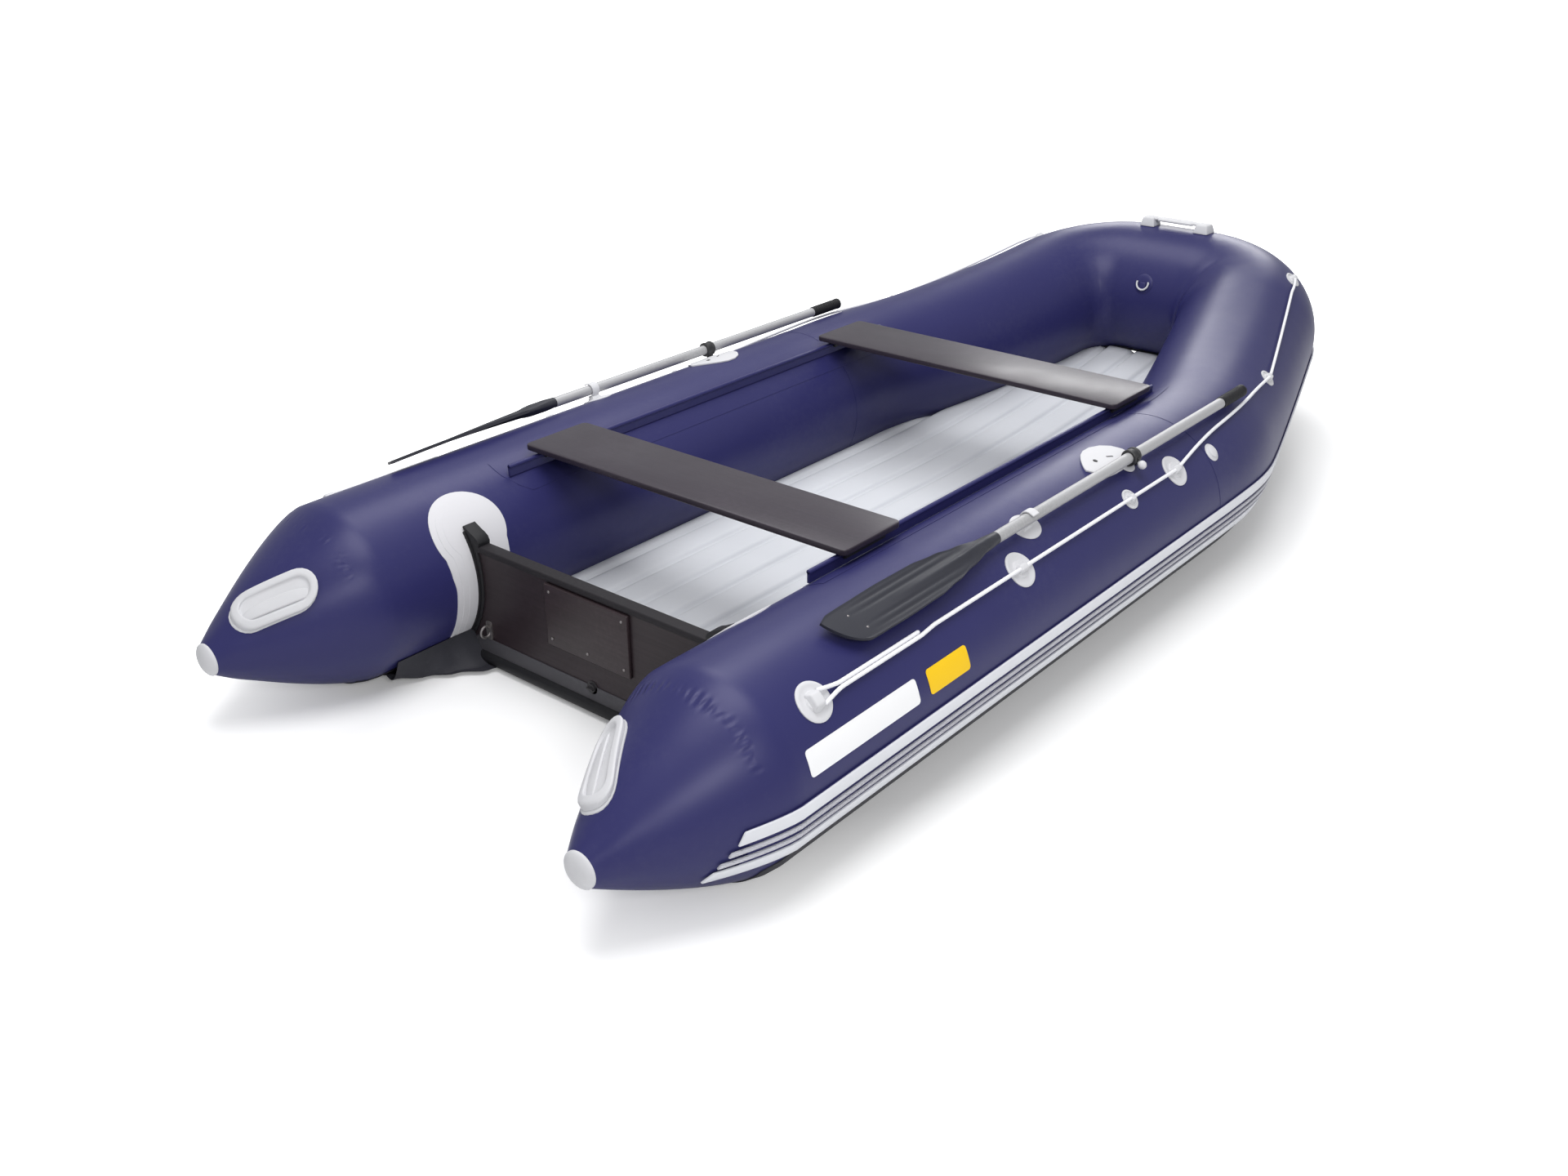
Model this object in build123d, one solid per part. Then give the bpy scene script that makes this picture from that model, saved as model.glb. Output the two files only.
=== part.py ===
from build123d import *
import os
from math import cos, degrees, pi, radians, sin, sqrt

# Inflatable boat with three air chambers, an inflatable floor, a plywood transom, two sliding
# bench seats and two oars on pivot oarlocks.
# Frame: +X to the bow, +Y to port, +Z up, origin on the ground under the middle of the boat.
# All sizes in millimetres, all angles in degrees. An angle on a tube is read around its axis,
# from the outboard horizontal (0) over the top (90) to the inboard horizontal (180).

# ---- overall sizes ----
LENGTH = 3800.0
TUBE_DIAMETER = 460.0
TUBE_SPACING = 1247.0        # between the axes of the two side tubes
WEAR_SKIN = 3.0              # fabric glued under the tubes, on which the boat stands

# ---- bow plan and sheer ----
SIDE_BEND_R = 1000.0         # gentle bend of each side tube towards the bow
TAPER_ANGLE = 15.0           # how far the forward sides turn in
CORNER_R = 290.0             # corner between the taper and the flat front
FRONT_FLAT = 210.0           # straight front piece of the bow tube
SHEER_LEAD = 114.0           # the sheer starts this far aft of the side bend
SHEER_RISE = 182.0           # lift of the tube axis at the bow

# ---- stern cones ----
CONE_LENGTH = 358.0
CONE_TIP_R = 38.0
CONE_DROP = 33.0             # the cone's axis sinks by this much at its tip
CONE_BULGE = 1.28            # 1 is a straight cone, more is a rounder shoulder
CONE_CAP_T = 15.0
CONE_STEP = 20.0             # spacing of the stations along the cone

# ---- rub strake ----
GLUE = 0.4                   # adhesive under the strips and skins that follow the bow
STRAKE_TOP_ANGLE = 4.0
STRAKE_FALL = 13.0           # the top edge falls by this angle where the bow rises
STRAKE_FALL_RUN = 500.0
STRAKE_WIDTH = 106.0
STRAKE_T = 4.0
RIB_T = 5.0
RIB_WIDTHS = (27.0, 11.0, 11.0, 27.0)
STRAKE_PAST_SEAM = 128.0     # the top rib ends this far behind the cone's seam
STRAKE_RAKE = 16.0           # each lower rib runs this much further aft

# ---- transom ----
TRANSOM_SETIN = 262.0        # the board's aft face ahead of the cones' seam
TRANSOM_T = 30.0
TRANSOM_TOP = 330.0
TRANSOM_BOTTOM = 34.0
SOCKET_FLANGE_T = 5.0
SOCKET_FLANGE_W = 54.0
SOCKET_LIP = 20.0
SOCKET_WALL = 7.0
SOCKET_TOP_ANGLE = 146.0
SOCKET_LOW_ANGLE = 218.0
MOTOR_PLATE = (10.0, 280.0, 170.0)
INNER_PLATE = (8.0, 340.0, 120.0)
PLATE_TOP_GAP = 10.0
LIP_R = 17.0
PATCH_T = 4.0
PATCH_HEAD_R = 108.0
PATCH_HALF_W = 92.0
DRAIN_R = 17.0
DRAIN_Z = 75.0
TOW_RING_INSET = 251.5       # from the tube axis
TOW_RING_Z = 105.0

# ---- bottom and floor ----
BOTTOM_CLEAR = 6.0           # the flat bottom's height between the tubes
KEEL_DEPTH = 3.0
BOTTOM_TOP = 34.0            # where the floor chamber starts
FLOOR_TOP = 118.0
FLOOR_RISE_SHARE = 0.67      # of the tube's own sheer
BOTTOM_RISE_SHARE = 0.78
KEEL_RISE_SHARE = 0.70
WEAR_SKIN_INNER_ANGLE = -120.0   # where the wear fabric ends on the inboard side
GUARD_WIDTH = 70.0
GUARD_SPACING = 420.0
GUARD_SETIN = 30.0           # from each end of the flat bottom

# ---- seats ----
SEAT_ABOVE_TUBE = 19.0
SEAT_T = 15.0
SEAT_INSET = 95.5            # from the tube axis to the bench's end
SEAT_CORNER_R = 14.0
AFT_SEAT_AHEAD = 264.0       # of the transom's fore face
AFT_SEAT_WIDTH = 216.0
FORE_SEAT_AFT_X = 256.0
FORE_SEAT_WIDTH = 224.0
TRACK_AHEAD = 157.0          # of the transom's fore face
TRACK_PAST_BEND = 155.0      # the flap runs this far past the side bend's start
RAIL_SETBACK = 20.0          # the rail starts this far inside the flap's aft end
RAIL_FORE_SETBACK = 30.0
TRACK_LOW_ANGLE = 108.0
TRACK_HIGH_ANGLE = 138.0
TRACK_T = 3.0
BEAD_R = 6.0
BEAD_INSET = 129.5           # from the tube axis
BEAD_BELOW_SEAT = 14.0
BEAD_WEB = 6.0
CLIP_PLAY = 0.8
CLIP_WALL = 5.0
CLIP_LENGTH = 150.0

# ---- oars ----
OAR_ANGLE = 65.0             # where the oars lie round the tubes
OAR_LIFT = 32.0              # shaft axis above the tube
OAR_SHAFT_R = 14.5
OAR_PIN_X = -35.0
OAR_CLIP_X = -533.0
OAR_GRIP_LENGTH = 140.0
OAR_GRIP_R = 18.0
OAR_FORE_REACH = 665.0       # from the pin to the grip's end
OAR_AFT_REACH = 1235.0       # from the pin to the blade's end
BLADE_LENGTH = 590.0
BLADE_WIDTH = 110.0
BLADE_T = 9.0
COLLAR_R = 22.0
COLLAR_LENGTH = 30.0
KNOB_R = 11.5
PIN_R = 5.0
PIN_PLAY = 0.4
OARLOCK_PAD_T = 5.0
HUB_WALL = 4.6
HUB_CLEAR = 2.0              # between the hub and the pad, and between the pin and the shaft
KNOB_NECK_R = 5.0
CLIP_GAP = 1.5
CLIP_HOOK_T = 4.0
CLIP_SPAN = 26.0
CLIP_FOOT_W = 16.0
CLIP_BASE = (40.0, 32.0, 3.0)

# ---- lifeline ----
ROPE_R = 4.5
ROPE_ANGLE = 45.0
ROPE_CLIMB = 10.0            # how far the taut rope climbs the tube where the side bends
ROPE_BOW_ANGLE = 55.0        # at the last patch
ROPE_LIFT = 11.0
EYE_PLAY = 0.5
LARGE_PATCH_R = 44.0
SMALL_PATCH_R = 27.0
AFT_PATCH_AHEAD = 124.0      # of the cones' seam
MIDDLE_PATCH_X = -649.0
BEND_PATCH_SETBACK = 303.0   # behind the side bend
SMALL_PATCH_SETBACK = 551.0
ROPE_STEP = 60.0
ROPE_OVERRUN = 14.0
VALVE_SETBACK = 98.0         # behind the side bend
VALVE_ANGLE = 42.0
VALVE_R = 26.0

# ---- handles and rings ----
HANDLE_SETBACK = 211.0       # the stern handles' middle behind the cones' seam
HANDLE_ANGLE = 126.5
HANDLE_FLANGE = (190.0, 80.0, 3.0)
HANDLE_WALL = (172.0, 64.0, 24.0)
HANDLE_RECESS = (148.0, 44.0, 5.0)
HANDLE_BAR_R = 5.5
HANDLE_BAR_LIFT = 16.0
BOW_HANDLE_PLATE = (260.0, 66.0, 3.0)
BOW_HANDLE_BLOCK = (44.0, 50.0)
BOW_HANDLE_GRIP = (24.0, 9.0)
BOW_HANDLE_GAP = 19.0
RING_PATCH_R = 34.0
RING_R = 17.0
RING_BAR_R = 4.0
INNER_RING_ANGLE = 161.0
TOW_EYE_ANGLE = -52.0

# ---- blank panels beside the strake, from the cones' seam ----
NAME_PANEL = (42.0, 402.0)
NUMBER_PANEL = (441.0, 589.0)
PANEL_ANGLES = (14.0, 28.0)
PANEL_T = 1.5

# ---- worked out ----
TUBE_R = TUBE_DIAMETER / 2
HALF_SPAN = TUBE_SPACING / 2
AXIS_Z = TUBE_R + WEAR_SKIN
TAPER = radians(TAPER_ANGLE)
FRONT_X = LENGTH / 2 - TUBE_R - STRAKE_T - RIB_T
TAPER_RUN = (HALF_SPAN - SIDE_BEND_R * (1 - cos(TAPER)) - CORNER_R * cos(TAPER)
             - FRONT_FLAT / 2) / sin(TAPER)
CORNER_X = FRONT_X - CORNER_R * (1 - sin(TAPER))
TAPER_X = CORNER_X - TAPER_RUN * cos(TAPER)
BEND_X = TAPER_X - SIDE_BEND_R * sin(TAPER)
SHEER_X = BEND_X - SHEER_LEAD
TAIL_X = -LENGTH / 2
CONE_TIP_X = TAIL_X + CONE_CAP_T
CONE_X = CONE_TIP_X + CONE_LENGTH
STRAKE_AFT_X = CONE_X - STRAKE_PAST_SEAM
TRANSOM_AFT_X = CONE_X + TRANSOM_SETIN
TRANSOM_FORE_X = TRANSOM_AFT_X + TRANSOM_T
TRANSOM_MIDDLE_X = TRANSOM_AFT_X + TRANSOM_T / 2
SEAT_TOP = AXIS_Z + TUBE_R + SEAT_ABOVE_TUBE
SEAT_HALF_LENGTH = HALF_SPAN - SEAT_INSET
AFT_SEAT_AFT_X = TRANSOM_FORE_X + AFT_SEAT_AHEAD
TRACK_AFT_X = TRANSOM_FORE_X + TRACK_AHEAD
RAIL_AFT_X = TRACK_AFT_X + RAIL_SETBACK
RAIL_FORE_X = BEND_X + TRACK_PAST_BEND - RAIL_FORE_SETBACK
BEAD_Y = HALF_SPAN - BEAD_INSET
BEAD_Z = SEAT_TOP - SEAT_T - BEAD_BELOW_SEAT
LARGE_PATCHES_X = (CONE_X + AFT_PATCH_AHEAD, MIDDLE_PATCH_X, BEND_X - BEND_PATCH_SETBACK)
SMALL_PATCH_X = BEND_X - SMALL_PATCH_SETBACK
VALVE_X = BEND_X - VALVE_SETBACK
BEND_RUN = SIDE_BEND_R * TAPER
CORNER_RUN = CORNER_R * (pi / 2 - TAPER)
HALF_RUN = BEND_RUN + TAPER_RUN + CORNER_RUN + FRONT_FLAT / 2
SEAM_RUN = -SHEER_LEAD
FAR_SEAM_RUN = 2 * HALF_RUN + SHEER_LEAD
BOW_PATCH_RUNS = (BEND_RUN + TAPER_RUN * 0.26, BEND_RUN + TAPER_RUN + CORNER_RUN * 0.2)
ROPE_BEND_RUN = -BEND_PATCH_SETBACK


def sheer(x):
    """Rise of the tube axis at a station x."""
    return SHEER_RISE * (max(0.0, x - SHEER_X) / (FRONT_X - SHEER_X)) ** 2


def sheer_slope(x):
    """Slope of the tube axis against x."""
    return 2 * SHEER_RISE * max(0.0, x - SHEER_X) / (FRONT_X - SHEER_X) ** 2


def axis_point(run):
    """Plan place and heading of the starboard axis, a run forward of the side bend."""
    if run < 0:
        return BEND_X + run, -HALF_SPAN, 0.0
    if run < BEND_RUN:
        turn = run / SIDE_BEND_R
        return BEND_X + SIDE_BEND_R * sin(turn), -HALF_SPAN + SIDE_BEND_R * (1 - cos(turn)), turn
    bent = SIDE_BEND_R * (1 - cos(TAPER)) - HALF_SPAN
    if run < BEND_RUN + TAPER_RUN:
        along = run - BEND_RUN
        return TAPER_X + along * cos(TAPER), bent + along * sin(TAPER), TAPER
    tapered = bent + TAPER_RUN * sin(TAPER)
    if run < BEND_RUN + TAPER_RUN + CORNER_RUN:
        turn = TAPER + (run - BEND_RUN - TAPER_RUN) / CORNER_R
        return (CORNER_X + CORNER_R * (sin(turn) - sin(TAPER)),
                tapered + CORNER_R * (cos(TAPER) - cos(turn)), turn)
    return FRONT_X, run - HALF_RUN, pi / 2


def station(run):
    """Plane square to the tube axis; its x points outboard and its y up."""
    if run > HALF_RUN:
        x, y, heading = axis_point(2 * HALF_RUN - run)
        y, heading, climb = -y, pi - heading, -sheer_slope(x) * cos(heading)
    else:
        x, y, heading = axis_point(run)
        climb = sheer_slope(x) * cos(heading)
    along = Vector(cos(heading), sin(heading), climb).normalized()
    outboard = Vector(sin(heading), -cos(heading), 0)
    return Plane(origin=(x, y, AXIS_Z + sheer(x)), x_dir=outboard, z_dir=along * -1)


def bow_runs(first, last):
    """Runs of the loft stations from one run to another, closer together in the corners."""
    steps = [-SHEER_LEAD, -SHEER_LEAD / 2]
    steps += [BEND_RUN * share for share in (0, 1 / 3, 2 / 3)]
    steps += [BEND_RUN + TAPER_RUN * share for share in (0, 0.25, 0.5, 0.75)]
    steps += [BEND_RUN + TAPER_RUN + CORNER_RUN * n / 6 for n in range(7)]
    steps += [HALF_RUN]
    steps += [2 * HALF_RUN - run for run in reversed(steps[:-1])]
    inner = [run for run in steps if first + 15 < run < last - 15]
    return [first] + inner + [last]


def bow_loft(section_at, first=SEAM_RUN, last=FAR_SEAM_RUN):
    """Body lofted round the bow, with its section given for each run."""
    return loft([station(run) * section_at(run) for run in bow_runs(first, last)], ruled=True)


def side_plane(x):
    """Plane square to the straight starboard tube; its x points outboard and its y up."""
    return Plane(origin=(x, -HALF_SPAN, AXIS_Z), x_dir=(0, -1, 0), z_dir=(-1, 0, 0))


def side_run(section, aft_x, fore_x=None):
    """Section run along the straight starboard tube."""
    fore = SHEER_X if fore_x is None else fore_x
    return extrude(side_plane(fore) * section, fore - aft_x)


def ring_sector(inner, outer, low, high):
    """Band between two radii and two angles."""
    outside = CenterArc((0, 0), outer, low, high - low)
    inside = CenterArc((0, 0), inner, low, high - low)
    return make_face([outside, inside, Line(outside @ 0, inside @ 0), Line(outside @ 1, inside @ 1)])


def skin_plane(angle, radius, run=None, x=None):
    """Plane on a tube's surface: its z points out of the tube, its x forward."""
    base = station(run) if x is None else side_plane(x)
    out = base.x_dir * cos(radians(angle)) + base.y_dir * sin(radians(angle))
    return Plane(origin=base.origin + out * radius, x_dir=base.z_dir * -1, z_dir=out)


def port(shape):
    """Mirror image of a starboard piece on the port side."""
    return mirror(shape, about=Plane.XZ)


def cone_radius(x):
    """Radius of the stern cone at a station x."""
    share = max(0.0, CONE_X - x) / CONE_LENGTH
    return TUBE_R - (TUBE_R - CONE_TIP_R) * share ** CONE_BULGE


def cone_drop(x):
    """Fall of the stern cone's axis at a station x."""
    return CONE_DROP * max(0.0, CONE_X - x) / CONE_LENGTH


def cone_plane(x):
    """Plane square to the boat on the starboard stern cone's axis."""
    return Plane(origin=(x, -HALF_SPAN, AXIS_Z - cone_drop(x)), x_dir=(0, -1, 0), z_dir=(-1, 0, 0))


def cone_steps(aft_x):
    """Stations along the stern cone, from its seam to the one asked for."""
    whole = int((CONE_X - aft_x - 2) / CONE_STEP)
    return [CONE_X - CONE_STEP * step for step in range(whole + 1)] + [aft_x]


def side_tube():
    """Starboard air chamber: a straight tube with a tapered stern cone."""
    sections = [cone_plane(x) * Circle(cone_radius(x)) for x in cone_steps(CONE_TIP_X)]
    return side_run(Circle(TUBE_R), CONE_X) + loft(sections, ruled=True)


def cone_cap():
    """Moulded cap on the starboard cone's tip."""
    base = cone_plane(CONE_TIP_X)
    cap = extrude(base * Circle(CONE_TIP_R), CONE_CAP_T)
    return fillet(cap.faces().sort_by(Axis.X)[0].edges(), CONE_CAP_T * 0.7)


def strake_top(run):
    """Angle of the strake's top edge at a run: it falls where the bow rises."""
    near = min(run, 2 * HALF_RUN - run)
    share = min(1.0, max(0.0, near / STRAKE_FALL_RUN))
    return STRAKE_TOP_ANGLE - STRAKE_FALL * share * share * (3 - 2 * share)


def strake_band(low_mm, high_mm, inner, outer, aft_x):
    """Strip round the whole hull, its edges given as distances below the strake's top edge."""
    def section(radius, edge=STRAKE_TOP_ANGLE):
        top = edge - degrees(low_mm / radius)
        bottom = edge - degrees(high_mm / radius)
        return ring_sector(radius + inner, radius + outer, bottom, top)
    cone = loft([cone_plane(x) * section(cone_radius(x)) for x in cone_steps(aft_x)], ruled=True)
    side = side_run(section(TUBE_R), CONE_X) + cone
    return bow_loft(lambda run: section(TUBE_R, strake_top(run))) + side + port(side)


def rib_places():
    """Distances of each rib's edges below the strake's top edge."""
    gap = (STRAKE_WIDTH - sum(RIB_WIDTHS)) / (len(RIB_WIDTHS) - 1)
    places = []
    start = 0.0
    for width in RIB_WIDTHS:
        places.append((start, start + width))
        start += width + gap
    return places


def strake_ribs():
    """Four raised ribs on the strake, each longer than the one above."""
    ribs = []
    for number, (top, bottom) in enumerate(rib_places()):
        aft = STRAKE_AFT_X - STRAKE_RAKE * number
        ribs.append(strake_band(top, bottom, STRAKE_T + GLUE, STRAKE_T + RIB_T, aft))
    return Compound(ribs)


def wear_skin_section(run=SEAM_RUN, glue=0.0):
    """Fabric under a tube, from a degree below the strake round to the floor."""
    upper = strake_top(run) - degrees(STRAKE_WIDTH / TUBE_R) - 1
    return ring_sector(TUBE_R + glue, TUBE_R + WEAR_SKIN, WEAR_SKIN_INNER_ANGLE, upper)


def bottom_loft(fore_aft, low, high):
    """Body between the tube axes, from section heights given for each station."""
    sections = []
    for x, half in fore_aft:
        outline = Polyline((-half, high(x)), (half, high(x)), (half, low(x)[0]), (0, low(x)[1]),
                           (-half, low(x)[0]), close=True)
        sections.append(Plane(origin=(x, 0, 0), x_dir=(0, 1, 0), z_dir=(1, 0, 0))
                        * make_face(outline))
    return loft(sections, ruled=True)


def plan_stations(aft_x):
    """Stations with the half width between the tube axes, from the stern to the bow."""
    runs = [0, BEND_RUN * 0.5, BEND_RUN, BEND_RUN + TAPER_RUN * 0.5, BEND_RUN + TAPER_RUN]
    runs += [BEND_RUN + TAPER_RUN + CORNER_RUN * share for share in (0.25, 0.5, 0.75)]
    places = [(aft_x, HALF_SPAN), (SHEER_X, HALF_SPAN)]
    for run in runs:
        x, y, _ = axis_point(run)
        places.append((x, -y))
    return places + [(FRONT_X, FRONT_FLAT / 2)]


def floor_heights():
    """Top and underside of the inflatable floor against x."""
    def top(x):
        return FLOOR_TOP + FLOOR_RISE_SHARE * sheer(x)

    def under(x):
        level = BOTTOM_TOP + FLOOR_RISE_SHARE * sheer(x)
        return level, level
    return top, under


def air_floor(tubes, skins, fittings):
    """Inflatable floor between the tubes."""
    top, under = floor_heights()
    return bottom_loft(plan_stations(TRANSOM_FORE_X), under, top) - tubes - skins - fittings


def hull_bottom(cutters):
    """Bottom under the floor, flat aft and with a shallow keel that rises to the bow."""
    def low(x):
        rise = sheer(x)
        return (BOTTOM_CLEAR + rise * BOTTOM_RISE_SHARE,
                BOTTOM_CLEAR - KEEL_DEPTH + rise * KEEL_RISE_SHARE)

    def high(x):
        return BOTTOM_TOP + FLOOR_RISE_SHARE * sheer(x)
    return bottom_loft(plan_stations(TRANSOM_AFT_X), low, high) - cutters


def transom_outline(margin):
    """Outline of the board between the tubes, clear of them by a margin."""
    board = Pos(0, (TRANSOM_TOP + TRANSOM_BOTTOM) / 2) * Rectangle(
        2 * HALF_SPAN, TRANSOM_TOP - TRANSOM_BOTTOM)
    for side in (-1, 1):
        board -= Pos(side * HALF_SPAN, AXIS_Z) * Circle(TUBE_R + margin)
    faces = board.faces().sort_by(Axis.X)
    return faces[len(faces) // 2]


def across(x):
    """Plane square to the boat whose x points to port and whose z points forward."""
    return Plane(origin=(x, 0, 0), x_dir=(0, 1, 0), z_dir=(1, 0, 0))


def transom():
    """Plywood board across the stern."""
    outline = transom_outline(PATCH_T + SOCKET_FLANGE_T + 1)
    return extrude(across(TRANSOM_AFT_X) * outline, TRANSOM_T)


def plate(size, aft_x, centre_z):
    """Flat plate on the transom with rounded corners."""
    thick, wide, high = size
    outline = across(aft_x) * Pos(0, centre_z) * RectangleRounded(wide, high, 12)
    return extrude(outline, thick)


def transom_socket():
    """Rubber profile that holds the board's starboard end against the tube."""
    base = TUBE_R + PATCH_T
    flange = ring_sector(base, base + SOCKET_FLANGE_T, SOCKET_TOP_ANGLE, SOCKET_LOW_ANGLE)
    half = SOCKET_FLANGE_W / 2
    body = side_run(flange, TRANSOM_MIDDLE_X - half, TRANSOM_MIDDLE_X + half)
    lip = ring_sector(base, base + SOCKET_FLANGE_T + SOCKET_LIP, SOCKET_TOP_ANGLE,
                      SOCKET_LOW_ANGLE - 5)
    width = TRANSOM_T / 2 + SOCKET_WALL
    return body + side_run(lip, TRANSOM_MIDDLE_X - width, TRANSOM_MIDDLE_X + width)


def transom_patch():
    """Keyhole patch on the starboard tube under the socket."""
    strip = side_run(ring_sector(TUBE_R, TUBE_R + PATCH_T, SOCKET_TOP_ANGLE, SOCKET_LOW_ANGLE),
                     TRANSOM_MIDDLE_X - PATCH_HALF_W, TRANSOM_MIDDLE_X + PATCH_HALF_W)
    ring = side_run(ring_sector(TUBE_R, TUBE_R + PATCH_T, 90, 200),
                    TRANSOM_MIDDLE_X - PATCH_HEAD_R, TRANSOM_MIDDLE_X + PATCH_HEAD_R)
    head = skin_plane(SOCKET_TOP_ANGLE, TUBE_R * 0.5, x=TRANSOM_MIDDLE_X) * Circle(PATCH_HEAD_R)
    return strip + (ring & extrude(head, TUBE_R))


def transom_lip():
    """Rounded rubber edge along the bottom of the board."""
    z = BOTTOM_CLEAR + LIP_R
    bar = extrude(Plane(origin=(TRANSOM_AFT_X, -HALF_SPAN, z), x_dir=(1, 0, 0), z_dir=(0, 1, 0))
                  * Circle(LIP_R), 2 * HALF_SPAN)
    half = bar & (Pos(TRANSOM_AFT_X - LIP_R, 0, z) * Box(2 * LIP_R, 2 * HALF_SPAN, 2 * LIP_R))
    tubes = side_run(Circle(TUBE_R + WEAR_SKIN), CONE_X, TRANSOM_FORE_X)
    return (half - tubes - port(tubes)).solids().sort_by(SortBy.VOLUME)[-1]


def drain_plug():
    """Threaded drain plug with a grip bar, low on the board."""
    face = Plane(origin=(TRANSOM_AFT_X, 0, DRAIN_Z), x_dir=(0, 1, 0), z_dir=(-1, 0, 0))
    flange = extrude(face * Circle(DRAIN_R), 3)
    cap = extrude(face * Circle(DRAIN_R * 0.7), 8)
    return flange + cap + extrude(face * Rectangle(DRAIN_R * 1.2, 4), 14)


def tow_ring(y, z):
    """Bolted ring on the transom's aft face."""
    face = Plane(origin=(TRANSOM_AFT_X, y, z), x_dir=(0, 1, 0), z_dir=(-1, 0, 0))
    base = extrude(face * RectangleRounded(22, 52, 8), 3)
    bow = Plane(origin=face.origin + face.z_dir * 14, x_dir=(0, 0, 1), z_dir=(0, 1, 0))
    ring = bow * Torus(15, 3.5)
    return base + (ring & (Pos(TRANSOM_AFT_X - 25, y, z) * Box(50, 60, 60)))


def seat_track(tubes):
    """Starboard fabric flap with the beaded rail that the seats slide on."""
    section = ring_sector(TUBE_R, TUBE_R + TRACK_T, TRACK_LOW_ANGLE, TRACK_HIGH_ANGLE)
    bent = bow_loft(lambda run: section, SEAM_RUN, TRACK_PAST_BEND)
    flap = side_run(section, TRACK_AFT_X) + bent
    return flap + bead_rail() - tubes


def bead_rail():
    """Bead on its web, above the flap."""
    end = across(RAIL_AFT_X)
    length = RAIL_FORE_X - RAIL_AFT_X
    foot_z = AXIS_Z + sqrt((TUBE_R + TRACK_T / 2) ** 2 - BEAD_INSET ** 2) - TRACK_T
    bead = extrude(end * Pos(-BEAD_Y, BEAD_Z) * Circle(BEAD_R), length)
    web = end * Pos(-BEAD_Y, (BEAD_Z + foot_z) / 2) * Rectangle(BEAD_WEB, BEAD_Z - foot_z)
    return bead + extrude(web, length)


def seat(aft_x, width):
    """Bench board with rounded corners."""
    middle = Plane(origin=(aft_x + width / 2, 0, SEAT_TOP - SEAT_T))
    outline = RectangleRounded(width, 2 * SEAT_HALF_LENGTH, SEAT_CORNER_R)
    board = extrude(middle * outline, SEAT_T)
    top = board.faces().sort_by(Axis.Z)[-1]
    return fillet(top.edges(), 3)


def seat_clips(aft_x, width):
    """Pair of clips under a bench, wrapped round the rails' beads."""
    half = BEAD_R + CLIP_PLAY + CLIP_WALL
    low = BEAD_Z - BEAD_R - CLIP_PLAY - 1
    high = SEAT_TOP - SEAT_T
    outline = Pos(-BEAD_Y, (low + high) / 2) * Rectangle(2 * half, high - low)
    outline -= Pos(-BEAD_Y, BEAD_Z) * Circle(BEAD_R + CLIP_PLAY)
    mouth = BEAD_Z - low
    outline -= Pos(-BEAD_Y, BEAD_Z - mouth) * Rectangle(BEAD_WEB + 2 * CLIP_PLAY, 2 * mouth)
    clip = extrude(across(aft_x + (width - CLIP_LENGTH) / 2) * outline, CLIP_LENGTH)
    return Compound([clip.solid(), port(clip).solid()])


def oar_frame():
    """Plane at the starboard oarlock: x forward, z out of the tube, at the shaft's height."""
    return skin_plane(OAR_ANGLE, TUBE_R + OAR_LIFT, x=OAR_PIN_X)


def along_oar(x):
    """Plane square to the shaft, a distance forward of the pin; its z points forward."""
    frame = oar_frame()
    return Plane(origin=frame.origin + frame.x_dir * x, x_dir=frame.y_dir, z_dir=frame.x_dir)


def oar_shaft():
    """Aluminium tube from the blade to the grip."""
    start = -(OAR_AFT_REACH - BLADE_LENGTH)
    length = OAR_FORE_REACH - OAR_GRIP_LENGTH - start
    return extrude(along_oar(start) * Circle(OAR_SHAFT_R), length)


def oar_grip():
    """Ribbed grip on the shaft's forward end."""
    bar = extrude(along_oar(OAR_FORE_REACH - OAR_GRIP_LENGTH) * Circle(OAR_GRIP_R), OAR_GRIP_LENGTH)
    return fillet(bar.edges(), 3)


def oar_blade():
    """Moulded blade with a round neck and a centre rib."""
    frame = oar_frame()
    tip = -OAR_AFT_REACH
    neck = tip + BLADE_LENGTH
    half = BLADE_WIDTH / 2
    edge = Spline((neck, OAR_SHAFT_R), (neck - 110, 22), (neck - 300, half - 8),
                  (tip + 90, half), (tip + 10, half - 5))
    outline = edge + Line(edge @ 1, (tip, half - 15)) + Line((tip, half - 15), (tip, 0))
    outline += Line((tip, 0), (neck, 0)) + Line((neck, 0), (neck, OAR_SHAFT_R))
    side = make_face(outline)
    face = side + mirror(side, about=Plane.XZ)
    sheet = extrude(frame * face, BLADE_T / 2, both=True)
    rib = Cone(OAR_SHAFT_R, BLADE_T * 0.45, BLADE_LENGTH * 0.8, align=(Align.CENTER, Align.CENTER,
                                                                    Align.MIN))
    spine = Plane(origin=frame.origin + frame.x_dir * neck, x_dir=frame.y_dir,
                  z_dir=frame.x_dir * -1) * rib
    return sheet + spine


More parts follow.
